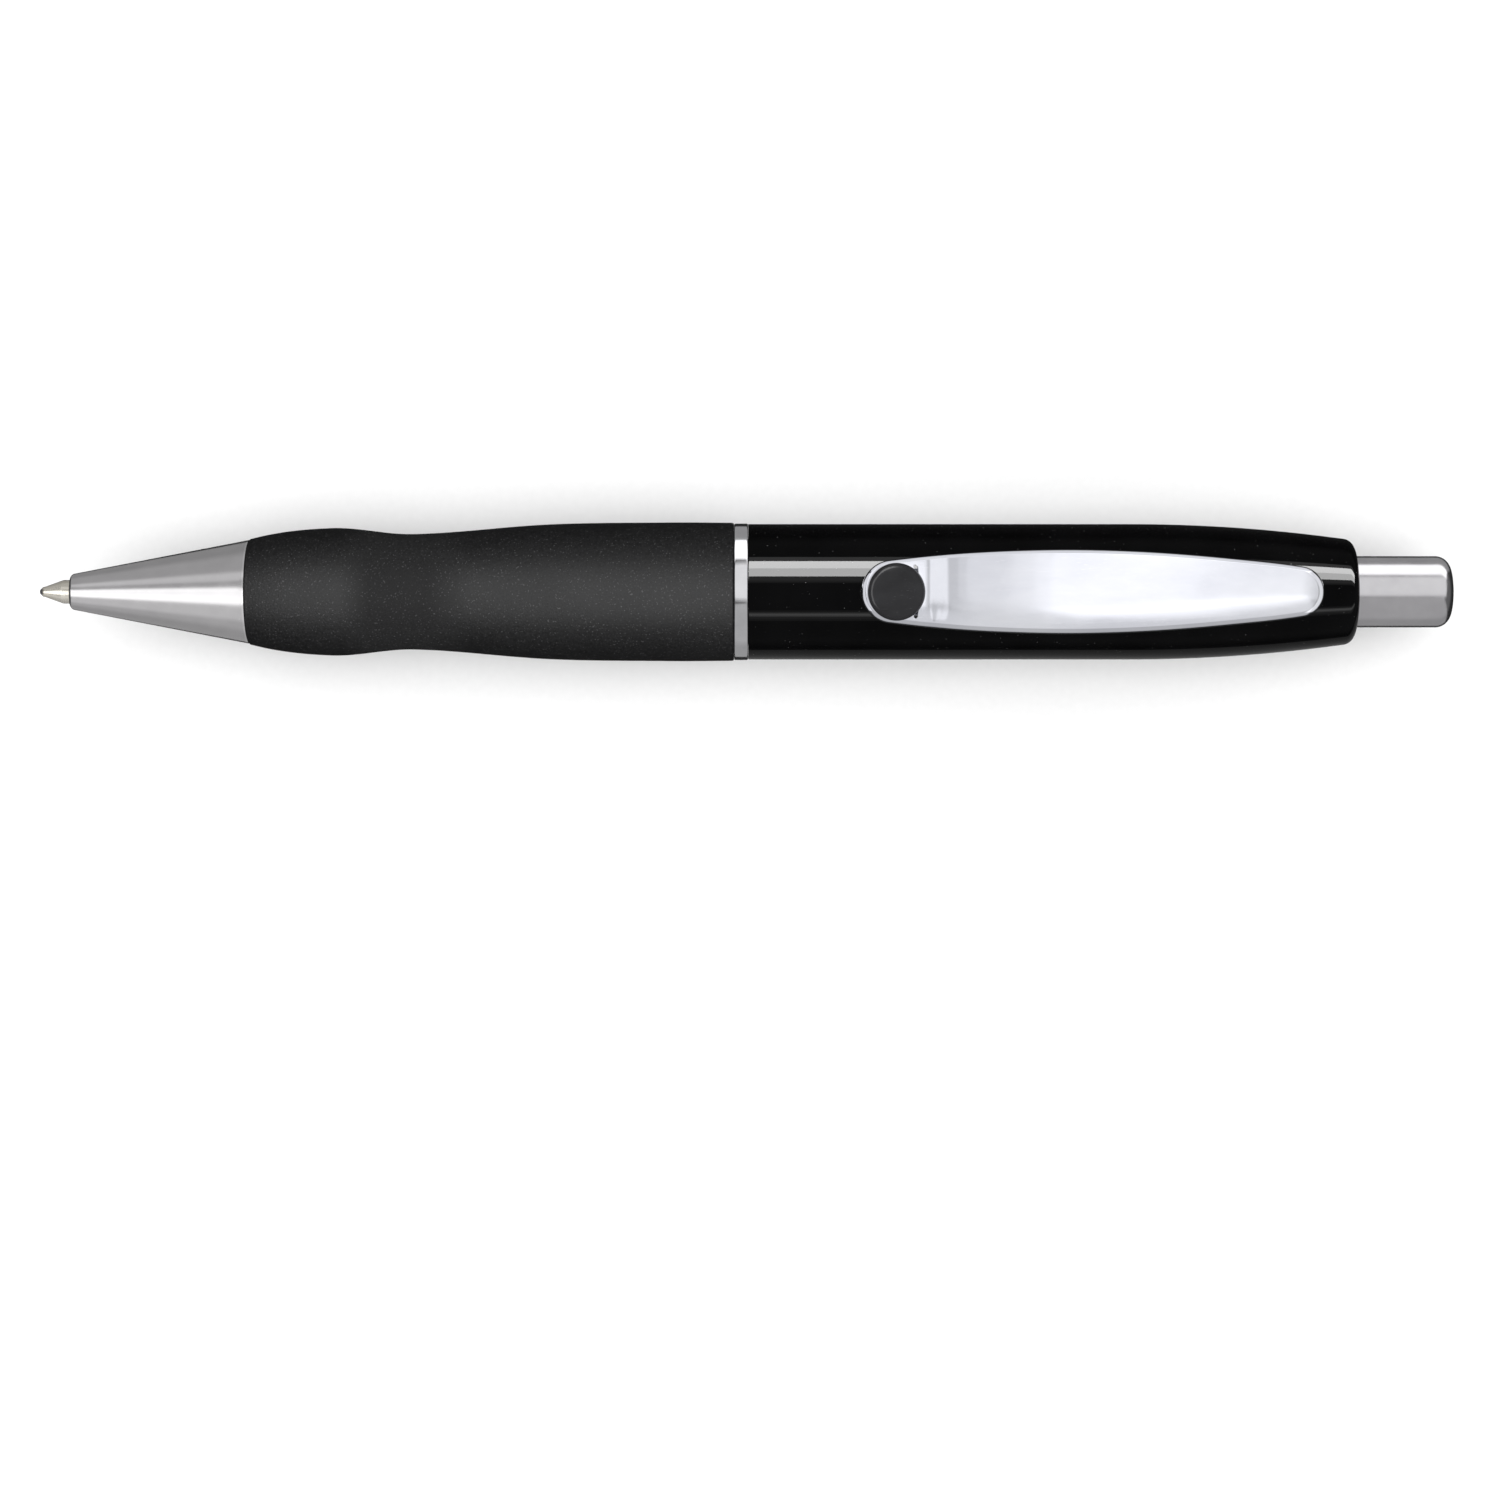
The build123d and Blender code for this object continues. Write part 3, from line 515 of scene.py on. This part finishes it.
def refill_point():
    """The turned point: the ball's socket and lip, the cone, the cylinder and the shank."""
    start, end = start_of("refill_point"), end_of("refill_point")
    shank_start, shank = POINT_SHANK
    opening = math.sqrt(BALL_RADIUS ** 2 - (BALL_RADIUS - start) ** 2) + BALL_GAP
    outline = POINT_SOCKET + [(start, opening)]
    outline += [(start + along, POINT_RIM + across) for along, across in POINT_LIP]
    outline += [(POINT_CONE_END + along, POINT_RADIUS + across)
                for along, across in POINT_SHOULDER]
    outline += [(shank_start, POINT_RADIUS), (shank_start, shank), (end, shank), (end, 0.0)]
    metal = turned_metal("point nickel silver", (0.82, 0.77, 0.68), (0.90, 0.86, 0.78),
                         (0.20, 0.27), lines=0.03)
    return dress(turned("refill_point_turned", outline), "refill", "refill_point",
                 metal)


# ---- clip ----------------------------------------------------------------------------------
SHEET = 0.50                # thickness
EDGE_ROUND = 0.70
FRONT_ROUND = 3.10
FRONT_ARC_END = 97          # degrees from +s where the front round meets the side
REAR_ROUND = 2.50
REAR_ARC_END = 81
CROWN = 0.10                # the arm's middle stands this far over its edges
CROWN_ROWS = 9              # from the middle of the arm's top to its rolled edge
UNDER_ROWS = 6              # from there back to the middle, under the arm
RIM_CORNER = 0.12           # round at both sides of the sheet's lower edge
ROUND_SPACING = 3           # degrees between stations round an end
ARM_SPACING = 0.25
SKIRT_SPACING = 0.12

# The clip's half width, then its heights over the pen's axis, at places along the pen.
SIDE = [(89.8, 3.64), (96.0, 4.01), (103.0, 4.13), (110.5, 3.88), (118.0, 3.29)]
TOP = [(81.4, 9.75), (88.2, 9.30), (89.3, 9.58), (90.5, 9.90), (93.0, 10.12), (99.5, 10.40),
       (105.1, 10.20), (110.7, 9.76), (116.3, 9.13), (122.0, 8.31), (128.4, 7.36)]
RIM = [(81.4, 8.48), (88.0, 8.17), (92.7, 8.74), (101.9, 8.99), (110.5, 8.65), (115.2, 8.10),
       (117.5, 6.95)]
SKIRTS = [(117.5, 5.38), (123.6, 5.20), (124.3, 5.62), (125.0, 5.52), (126.0, 5.39),
          (126.9, 5.60), (128.4, 5.72)]
BARREL_GAP = 0.03

TONGUE_PATH = [(82.03, 9.05), (82.87, 8.03), (85.00, 6.95), (85.90, 6.95), (88.05, 8.45)]
TONGUE_HALF_WIDTH = 2.30
TONGUE_SHEET = 0.28
TONGUE_BEND = 0.40
TONGUE_EDGE = 0.06
TONGUE_INSET = 0.08         # from the clip's outline to the tongue's side

SLOT_S = 87.15
SLOT_WIDTH = 0.36
SLOT_HALF_LENGTH = 2.60
INSERT_S = 85.25
STEM_RADIUS = 1.25
CUT_HEIGHT = 9.2            # at the middle of the holes through the arm
CUT_HALF_DEPTH = 0.9


top_height = smooth(TOP, first_slope=-0.066, last_slope=-0.148)
rim_height = smooth(RIM)
skirt_height = straight(SKIRTS)


def lowest_height(s, y):
    """Height of the clip's lower edge: the rolled rim, then skirts that stop at the barrel."""
    if s < SKIRTS[0][0]:
        return rim_height(s)
    clear = barrel_radius(s) + BARREL_GAP
    return max(skirt_height(s), math.sqrt(max(0.0, clear ** 2 - y ** 2)))


def clip_stations():
    """Stations round the clip's outline on the +y side, front to rear: each has its s, its y,
    the direction inwards, and the distance that way to the clip's middle line."""
    front_s = start_of("clip") + FRONT_ROUND
    rear_s = end_of("clip") - REAR_ROUND
    front = [(math.radians(angle), front_s, FRONT_ROUND)
             for angle in steps_between(180, FRONT_ARC_END, ROUND_SPACING)]
    rear = [(math.radians(angle), rear_s, REAR_ROUND)
            for angle in steps_between(REAR_ARC_END, 0, ROUND_SPACING)]
    rounds = [[(centre + radius * math.cos(turn), radius * math.sin(turn),
                (-math.cos(turn), -math.sin(turn)), radius) for turn, centre, radius in end]
              for end in (front, rear)]
    joint_front, joint_rear = rounds[0][-1], rounds[1][0]
    half_width = smooth([joint_front[:2]] + SIDE + [joint_rear[:2]],
                        first_slope=-1 / math.tan(math.radians(FRONT_ARC_END)),
                        last_slope=-1 / math.tan(math.radians(REAR_ARC_END)))
    side = []
    step = 0.01
    stops = steps_between(joint_front[0], SKIRTS[0][0], ARM_SPACING)
    stops += steps_between(SKIRTS[0][0] + SKIRT_SPACING / 2, joint_rear[0], SKIRT_SPACING)
    for s in stops[1:-1]:
        slope = (half_width(s + step) - half_width(s - step)) / (2 * step)
        length = math.hypot(slope, 1)
        side.append((s, half_width(s), (slope / length, -1 / length), half_width(s) * length))
    return rounds[0] + side + rounds[1]


def clip_section(station):
    """The pressing's section at a station, from the middle of its top, round the rolled edge
    and the sheet's lower edge, to the middle of its underside."""
    s0, y0, (ds, dy), reach = station
    flat = reach - EDGE_ROUND
    inner = EDGE_ROUND - SHEET
    rows = []

    def by_top(inset, rise):
        """A row this far in from the outline, and over the height of the top's edge."""
        s, y = s0 + ds * inset, y0 + dy * inset
        rows.append((s, y, top_height(s) + rise))

    def by_rim(inset, rise, share=0.0):
        """A row this far in and over the lower edge, or a share of the way up the side."""
        s, y = s0 + ds * inset, y0 + dy * inset
        foot = lowest_height(s, y) + rise
        rows.append((s, y, foot + (top_height(s) - EDGE_ROUND - foot) * share))

    def corner(degrees):
        """How far a quarter round of radius one is in from its side, and from its end."""
        turn = math.radians(degrees)
        return 1 - math.cos(turn), 1 - math.sin(turn)

    for i in range(CROWN_ROWS):
        across = i / CROWN_ROWS
        by_top(reach - flat * across, CROWN * (1 - across ** 2))
    for degrees in steps_between(0, 90, 11.25):
        down, aside = corner(degrees)
        by_top(EDGE_ROUND * aside, -EDGE_ROUND * down)
    for share in (0.8, 0.6, 0.4, 0.2, 0.0):
        by_rim(0, RIM_CORNER, share)
    for degrees in (30, 60, 90):
        aside, up = corner(degrees)
        by_rim(RIM_CORNER * aside, RIM_CORNER * up)
    for degrees in (90, 60, 30, 0):
        aside, up = corner(degrees)
        by_rim(SHEET - RIM_CORNER * aside, RIM_CORNER * up)
    for share in (0.35, 0.7, 1.0):
        by_rim(SHEET, RIM_CORNER, share)
    for degrees in (22, 45, 68, 90):
        aside, down = corner(degrees)
        by_top(SHEET + inner * aside, -SHEET - inner * down)
    for i in range(UNDER_ROWS):
        across = 1 - (i + 1) / UNDER_ROWS
        by_top(reach - flat * across, CROWN * (1 - across ** 2) - SHEET)
    return rows


def strip_path(path, bend):
    """A path of (s, h) points with its corners rounded to a bend radius."""
    points = [Vector(place) for place in path]
    rounded = [points[0]]
    for before, corner, after in zip(points, points[1:], points[2:]):
        back, ahead = (before - corner).normalized(), (after - corner).normalized()
        half = back.angle(ahead) / 2
        cut = bend / math.tan(half)
        start, end = corner + back * cut, corner + ahead * cut
        centre = corner + (back + ahead).normalized() * (bend / math.sin(half))
        for share in steps_between(0, 1, 0.15):
            middle = (start.lerp(end, share) - centre).normalized() * bend
            rounded.append(centre + middle)
    rounded.append(points[-1])
    return rounded


def clip_tongue(bm):
    """The strip folded down under the eyelet, which bears on the barrel. Its root stays within
    the round of the clip's front."""
    path = strip_path(TONGUE_PATH, TONGUE_BEND)
    front_s = start_of("clip") + FRONT_ROUND
    half_sheet = TONGUE_SHEET / 2
    rings = []
    for i, here in enumerate(path):
        along = (path[min(i + 1, len(path) - 1)] - path[max(i - 1, 0)]).normalized()
        up = Vector((-along.y, along.x))
        before_round = min(0.0, here.x - half_sheet - front_s)
        reach = math.sqrt(max(0.0, FRONT_ROUND ** 2 - before_round ** 2))
        half = min(TONGUE_HALF_WIDTH, reach - TONGUE_INSET)
        ring = []
        for side, level in ((-1, 1), (1, 1), (1, -1), (-1, -1)):
            corner = [(half, half_sheet - TONGUE_EDGE), (half - TONGUE_EDGE, half_sheet)]
            for out, rise in corner[::-side * level]:
                place = here + up * level * rise
                ring.append(bm.verts.new(spot(place.x, side * out, place.y)))
        rings.append(ring)
    count = len(rings[0])
    for ring, following in zip(rings, rings[1:]):
        for i in range(count):
            after = (i + 1) % count
            bm.faces.new((ring[i], ring[after], following[after], following[i]))
    bm.faces.new(rings[0][::-1])
    bm.faces.new(rings[-1])


def slot_tool(name, s, half_width, half_length):
    """An upright prism to cut a slot with round ends that lies across the arm."""
    bm = bmesh.new()
    outline = []
    for side in (1, -1):
        for degrees in steps_between(0, 180, 30):
            turn = math.radians(degrees)
            outline.append((s + side * half_width * math.cos(turn),
                            side * (half_length - half_width + half_width * math.sin(turn))))
    low, high = [[bm.verts.new(spot(a, b, CUT_HEIGHT + depth)) for a, b in outline]
                 for depth in (-CUT_HALF_DEPTH, CUT_HALF_DEPTH)]
    bm.faces.new(low[::-1])
    bm.faces.new(high)
    for i in range(len(outline)):
        after = (i + 1) % len(outline)
        bm.faces.new((low[i], low[after], high[after], high[i]))
    return finish_mesh(name, bm)


def cut_away(piece, cutter):
    """Cuts the cutter out of the piece and removes the cutter."""
    cut = piece.modifiers.new("cut", "BOOLEAN")
    cut.operation = "DIFFERENCE"
    cut.solver = "EXACT"
    cut.object = cutter
    bpy.context.view_layer.update()
    with_cut = piece.evaluated_get(bpy.context.evaluated_depsgraph_get())
    shape = bpy.data.meshes.new_from_object(with_cut)
    piece.modifiers.clear()
    piece.data = shape
    bpy.data.objects.remove(cutter)


def clip():
    """The pressed clip: rolled edges, an eyelet at its free end, a slot, a tongue and skirts."""
    bm = bmesh.new()
    stations = clip_stations()
    stations += [(s, -y, (ds, -dy), reach) for s, y, (ds, dy), reach in reversed(stations[1:-1])]
    rings = [[bm.verts.new(spot(*place)) for place in clip_section(station)]
             for station in stations]
    for ring, following in zip(rings, rings[1:] + rings[:1]):
        for i in range(len(ring) - 1):
            bm.faces.new((ring[i], ring[i + 1], following[i + 1], following[i]))
    piece = finish_mesh("clip_pressed", bm, sharp_angle=50)
    stem_hole = STEM_RADIUS + GAP
    cut_away(piece, slot_tool("slot_cutter", SLOT_S, SLOT_WIDTH / 2, SLOT_HALF_LENGTH))
    cut_away(piece, slot_tool("stem_cutter", INSERT_S, stem_hole, stem_hole))
    tongue = bmesh.new()
    tongue.from_mesh(piece.data)
    clip_tongue(tongue)
    tongue.to_mesh(piece.data)
    tongue.free()
    for face in piece.data.polygons:
        face.use_smooth = True
    return dress(piece, "clip", "clip", chrome("clip bright chrome"))


# ---- the clip's plastic insert ---------------------------------------------------------------
INSERT_THICKNESS = 1.05
INSERT_EDGE_ROUND = 0.55
INSERT_DOME = 0.12
STEM_TIP_RADIUS = 0.55
STEM_SHOULDER = 8.22
STEM_TIP = 7.20
STEM_TIP_EDGE = 0.10
INSERT_FOOT_EDGE = 0.08


def clip_insert():
    """A black button in the eyelet, a little domed, with a stem that goes down to the tongue."""
    lean = math.atan((TOP[1][1] - TOP[0][1]) / (TOP[1][0] - TOP[0][0]))
    seat = top_height(INSERT_S) + GAP

    def upright(height, across, y):
        s = INSERT_S + across * math.cos(lean) - height * math.sin(lean)
        return spot(s, y, seat + height * math.cos(lean) + across * math.sin(lean))

    radius = radius_of("clip_insert")
    round_h, round_r = INSERT_THICKNESS - INSERT_EDGE_ROUND - INSERT_DOME, radius - INSERT_EDGE_ROUND
    tip = STEM_TIP - seat
    outline = [(tip, 0.0), (tip, STEM_TIP_RADIUS - STEM_TIP_EDGE),
               (tip + STEM_TIP_EDGE, STEM_TIP_RADIUS), (STEM_SHOULDER - seat, STEM_RADIUS),
               (0.0, STEM_RADIUS), (0.0, radius - INSERT_FOOT_EDGE), (INSERT_FOOT_EDGE, radius)]
    outline += arc(round_h, round_r, INSERT_EDGE_ROUND, 90, 6, 12)
    rim_h, rim_r = outline[-1]
    for share in (0.9, 0.75, 0.6, 0.45, 0.3, 0.15, 0.0):
        outline.append((INSERT_THICKNESS - (INSERT_THICKNESS - rim_h) * share ** 2, rim_r * share))
    plastic = moulded_plastic("insert black plastic", (0.015, 0.015, 0.016),
                              (0.023, 0.023, 0.025), (0.16, 0.24), grain=0.5, depth=0.0012)
    return dress(turned("clip_insert_moulded", outline, upright), "clip", "clip_insert",
                 plastic)


# ---- pieces kept as they are in the CAD, with their finishes ---------------------------------
def kept_finishes():
    """Finishes of the CAD nodes that are shown as they are."""
    carbide = turned_metal("ball carbide", (0.50, 0.50, 0.53), (0.60, 0.60, 0.63), (0.05, 0.12))
    brass = turned_metal("neck brass", (0.62, 0.45, 0.20), (0.72, 0.54, 0.27), (0.18, 0.3))
    steel = turned_metal("refill tube steel", (0.52, 0.52, 0.54), (0.62, 0.62, 0.64),
                         (0.16, 0.28), lines=0.12)
    spring = turned_metal("spring wire", (0.50, 0.50, 0.52), (0.62, 0.62, 0.64), (0.18, 0.3))
    cream = moulded_plastic("refill plug plastic", (0.62, 0.60, 0.55), (0.70, 0.68, 0.63),
                            (0.35, 0.45))
    black = moulded_plastic("inner barrel plastic", (0.012, 0.012, 0.012),
                            (0.022, 0.022, 0.022), (0.35, 0.5))
    sleeve = moulded_plastic("cam sleeve plastic", (0.05, 0.05, 0.055), (0.08, 0.08, 0.085),
                             (0.3, 0.42))
    white = moulded_plastic("cam plastic", (0.66, 0.66, 0.64), (0.74, 0.74, 0.72), (0.28, 0.4))
    pusher = moulded_plastic("pusher plastic", (0.12, 0.14, 0.17), (0.18, 0.20, 0.24),
                             (0.3, 0.42))
    bracket = moulded_plastic("bracket plastic", (0.030, 0.034, 0.045), (0.045, 0.050, 0.062),
                              (0.22, 0.34))
    return {
        "writing_ball": carbide, "refill_neck": brass, "refill_tube": steel,
        "refill_end_cap": cream, "ink_column": ink_paste("ink paste"), "return_spring": spring,
        "lower_barrel": black, "cam_sleeve": sleeve, "rotor": white, "thruster": pusher,
        "clip_bracket": bracket,
    }


def finish_kept_nodes():
    """Gives the CAD nodes that stay their finishes."""
    for node, material in kept_finishes().items():
        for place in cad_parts[node].material_slots:
            place.material = material


# ---- floor, light and camera -------------------------------------------------------------------
CAMERA_HEIGHT = 380.0       # over the pen's axis
VIEW_WIDTH = 150.0          # of the pen's plane that the camera takes in
FADE_STEP = 4.0             # degrees between the lights one over another that fade an edge
FADE_LAYERS = 5             # the most of those lights
AXIS_IN_VIEW = (-0.4, 15.82)    # where the pen's middle is from the middle of the view
FLOOR_HALF = 1.5            # metres
ROOM_LIGHT = 0.15           # the room's brightness level with the pen and above
ROOM_LIGHT_BELOW = 0.03
ROOM_DARK_AT = -0.3         # how far down the room has turned dark: -1 is straight down


def floor():
    """A plain pale sheet under the pen, left out of the pen's gloss."""
    bm = bmesh.new()
    corners = [bm.verts.new((x * FLOOR_HALF, y * FLOOR_HALF, 0.0))
               for x, y in ((-1, -1), (1, -1), (1, 1), (-1, 1))]
    bm.faces.new(corners)
    mesh = bpy.data.meshes.new("floor")
    bm.to_mesh(mesh)
    bm.free()
    sheet = bpy.data.objects.new("floor", mesh)
    bpy.context.scene.collection.objects.link(sheet)
    look = Surface("pale floor", Specular_IOR_Level=0.2)
    paper = look.noise(0.8, detail=4)
    look.colour((0.86, 0.86, 0.86), (0.88, 0.88, 0.88), look.spread(paper, 0.3, 0.7))
    look.roughness(look.spread(paper, 0.3, 0.7, 0.85, 0.95))
    mesh.materials.append(look.material)
    sheet.visible_glossy = False
    sheet.visible_shadow = False


def softbox(name, lean_y, lean_x, half_y, half_x, radiance, pieces=(), fade_y=0, fade_x=0,
            distance=0.5):
    """A soft light that leans this many degrees from straight up, towards +y and +x, and fills
    these half angles as the pen sees it, with edges that fade over some degrees. With pieces
    it only shows in their gloss. Without, it lights everything and shows in no gloss."""
    up, over = math.radians(lean_y), math.radians(lean_x)
    away = Vector((math.sin(over), math.sin(up) * math.cos(over), math.cos(up) * math.cos(over)))
    across = (Vector((1, 0, 0)) - away * away.x).normalized()
    turn = Matrix((across, away.cross(across), away)).transposed().to_4x4()
    middle = (cad_low + cad_high) / 2
    layers = min(FADE_LAYERS, 1 + round(max(fade_y, fade_x) / FADE_STEP))
    for layer in range(layers):
        wider = (layer + 0.5) / layers - 0.5
        lamp = bpy.data.lights.new(name, "AREA")
        lamp.shape = "RECTANGLE"
        lamp.size, lamp.size_y = [2 * distance * math.tan(math.radians(half + fade * wider))
                                  for half, fade in ((half_x, fade_x), (half_y, fade_y))]
        lamp.energy = radiance / layers * math.pi * lamp.size * lamp.size_y
        light = bpy.data.objects.new(name, lamp)
        bpy.context.scene.collection.objects.link(light)
        light.matrix_world = Matrix.Translation(middle + away * (distance + layer * MM)) @ turn
        light.visible_glossy = bool(pieces)
        light.visible_diffuse = not pieces
        light.visible_camera = False
        if pieces:
            lit = bpy.data.collections.new("lit by " + name)
            for piece in pieces:
                lit.objects.link(piece)
            light.light_linking.receiver_collection = lit


def surroundings():
    """A dim grey room, darker below the horizon."""
    world = bpy.data.worlds.new("room")
    world.use_nodes = True
    tree = world.node_tree
    place = tree.nodes.new("ShaderNodeTexCoord").outputs["Generated"]
    height = tree.nodes.new("ShaderNodeSeparateXYZ")
    shade = tree.nodes.new("ShaderNodeMapRange")
    for socket, number in (("From Min", ROOM_DARK_AT), ("From Max", 0.0),
                           ("To Min", ROOM_LIGHT_BELOW), ("To Max", ROOM_LIGHT)):
        shade.inputs[socket].default_value = number
    tree.links.new(place, height.inputs[0])
    tree.links.new(height.outputs["Z"], shade.inputs["Value"])
    tree.links.new(shade.outputs["Result"], tree.nodes["Background"].inputs["Strength"])
    tree.nodes["Background"].inputs["Color"].default_value = (1, 1, 1, 1)
    bpy.context.scene.world = world


def lights(lacquer, plastic, rubber, front_metal, rear_metal, plated):
    """Softboxes over the whole pen, then those that show in the gloss of each kind of piece."""
    softbox("overhead fill", 0, 0, 60, 60, 1.7, distance=1.0)
    softbox("strip", 39.6, 0, 13.5, 60, 27, lacquer)
    softbox("strip bright edge", 46.6, 0, 6.5, 60, 12, lacquer)
    softbox("strip halo", 57, 0, 4, 60, 1.8, lacquer)
    softbox("strip fade", 22, 0, 5, 60, 1.0, lacquer, fade_y=7)
    softbox("low strip", -39.0, 0, 2.5, 60, 2.2, lacquer, fade_y=4)
    softbox("low strip glow", -41, 0, 6, 60, 0.8, lacquer, fade_y=10)
    softbox("barrel under card", -150, 0, 33, 60, 0.22, lacquer)
    softbox("insert glint", 34, -6, 16, 14, 3.5, plastic)
    softbox("insert side glint", 0, -34, 25, 14, 2.0, plastic)
    softbox("grip key", -2, -2, 47, 34, 7.8, rubber)
    softbox("cone key", -11, -35, 17, 25, 1.35, front_metal, fade_y=6)
    softbox("cone upper", 26, -31, 19, 25, 0.31, front_metal, fade_y=7)
    softbox("cone far side", 90, -20, 56, 35, 0.30, front_metal)
    softbox("cone lower", -42, -31, 26, 25, 0.20, front_metal, fade_y=10)
    softbox("cone low side", -94, -20, 58, 35, 0.36, front_metal)
    softbox("rear key", 77, 5, 20, 50, 1.6, rear_metal, fade_y=6)
    softbox("rear upper", 18, 8, 32, 50, 0.80, rear_metal, fade_y=10)
    softbox("rear far side", 120, 5, 25, 50, 0.32, rear_metal)
    softbox("rear lower", -82, 5, 62, 50, 0.34, rear_metal)
    softbox("clip card", 25.5, 3, 30, 43, 0.56, plated)
    softbox("clip glow", 25.5, 18, 30, 17, 0.56, plated, fade_x=21)
    softbox("clip bend glint", 25.5, -31, 30, 10, 0.35, plated, fade_x=8)
    softbox("clip low card", -57, 3, 53, 45, 0.38, plated)
    softbox("clip low glow", -17, 3, 12.5, 45, 0.25, plated, fade_y=4)
    softbox("clip far side", 88, 3, 34, 45, 0.75, plated, fade_y=4)
    softbox("clip front end", 0, -75, 45, 30, 0.70, plated)
    softbox("clip rear end", 0, 78, 45, 30, 0.70, plated)


def camera():
    """A camera straight over the pen's middle, with its lens shifted to frame it."""
    lens = bpy.data.cameras.new("camera")
    lens.sensor_width = 36.0
    lens.lens = lens.sensor_width * CAMERA_HEIGHT / VIEW_WIDTH
    lens.shift_x, lens.shift_y = [-offset / VIEW_WIDTH for offset in AXIS_IN_VIEW]
    lens.clip_start, lens.clip_end = 0.01, 10
    eye = bpy.data.objects.new("camera", lens)
    middle = (cad_low + cad_high) / 2
    eye.location = (middle.x, middle.y, AXIS_Z + CAMERA_HEIGHT * MM)
    bpy.context.scene.collection.objects.link(eye)
    bpy.context.scene.camera = eye


# ---- the scene -----------------------------------------------------------------------------
cone, grip, ring, barrel = nose_cone(), rubber_grip(), centre_ring(), upper_barrel()
button, point, arm, insert = push_button(), refill_point(), clip(), clip_insert()
finish_kept_nodes()
floor()
surroundings()
lights(lacquer=[barrel], plastic=[insert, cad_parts["clip_bracket"]], rubber=[grip],
       front_metal=[cone, point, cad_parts["writing_ball"]], rear_metal=[ring, button],
       plated=[arm])
camera()
bpy.context.scene.view_settings.view_transform = "Standard"
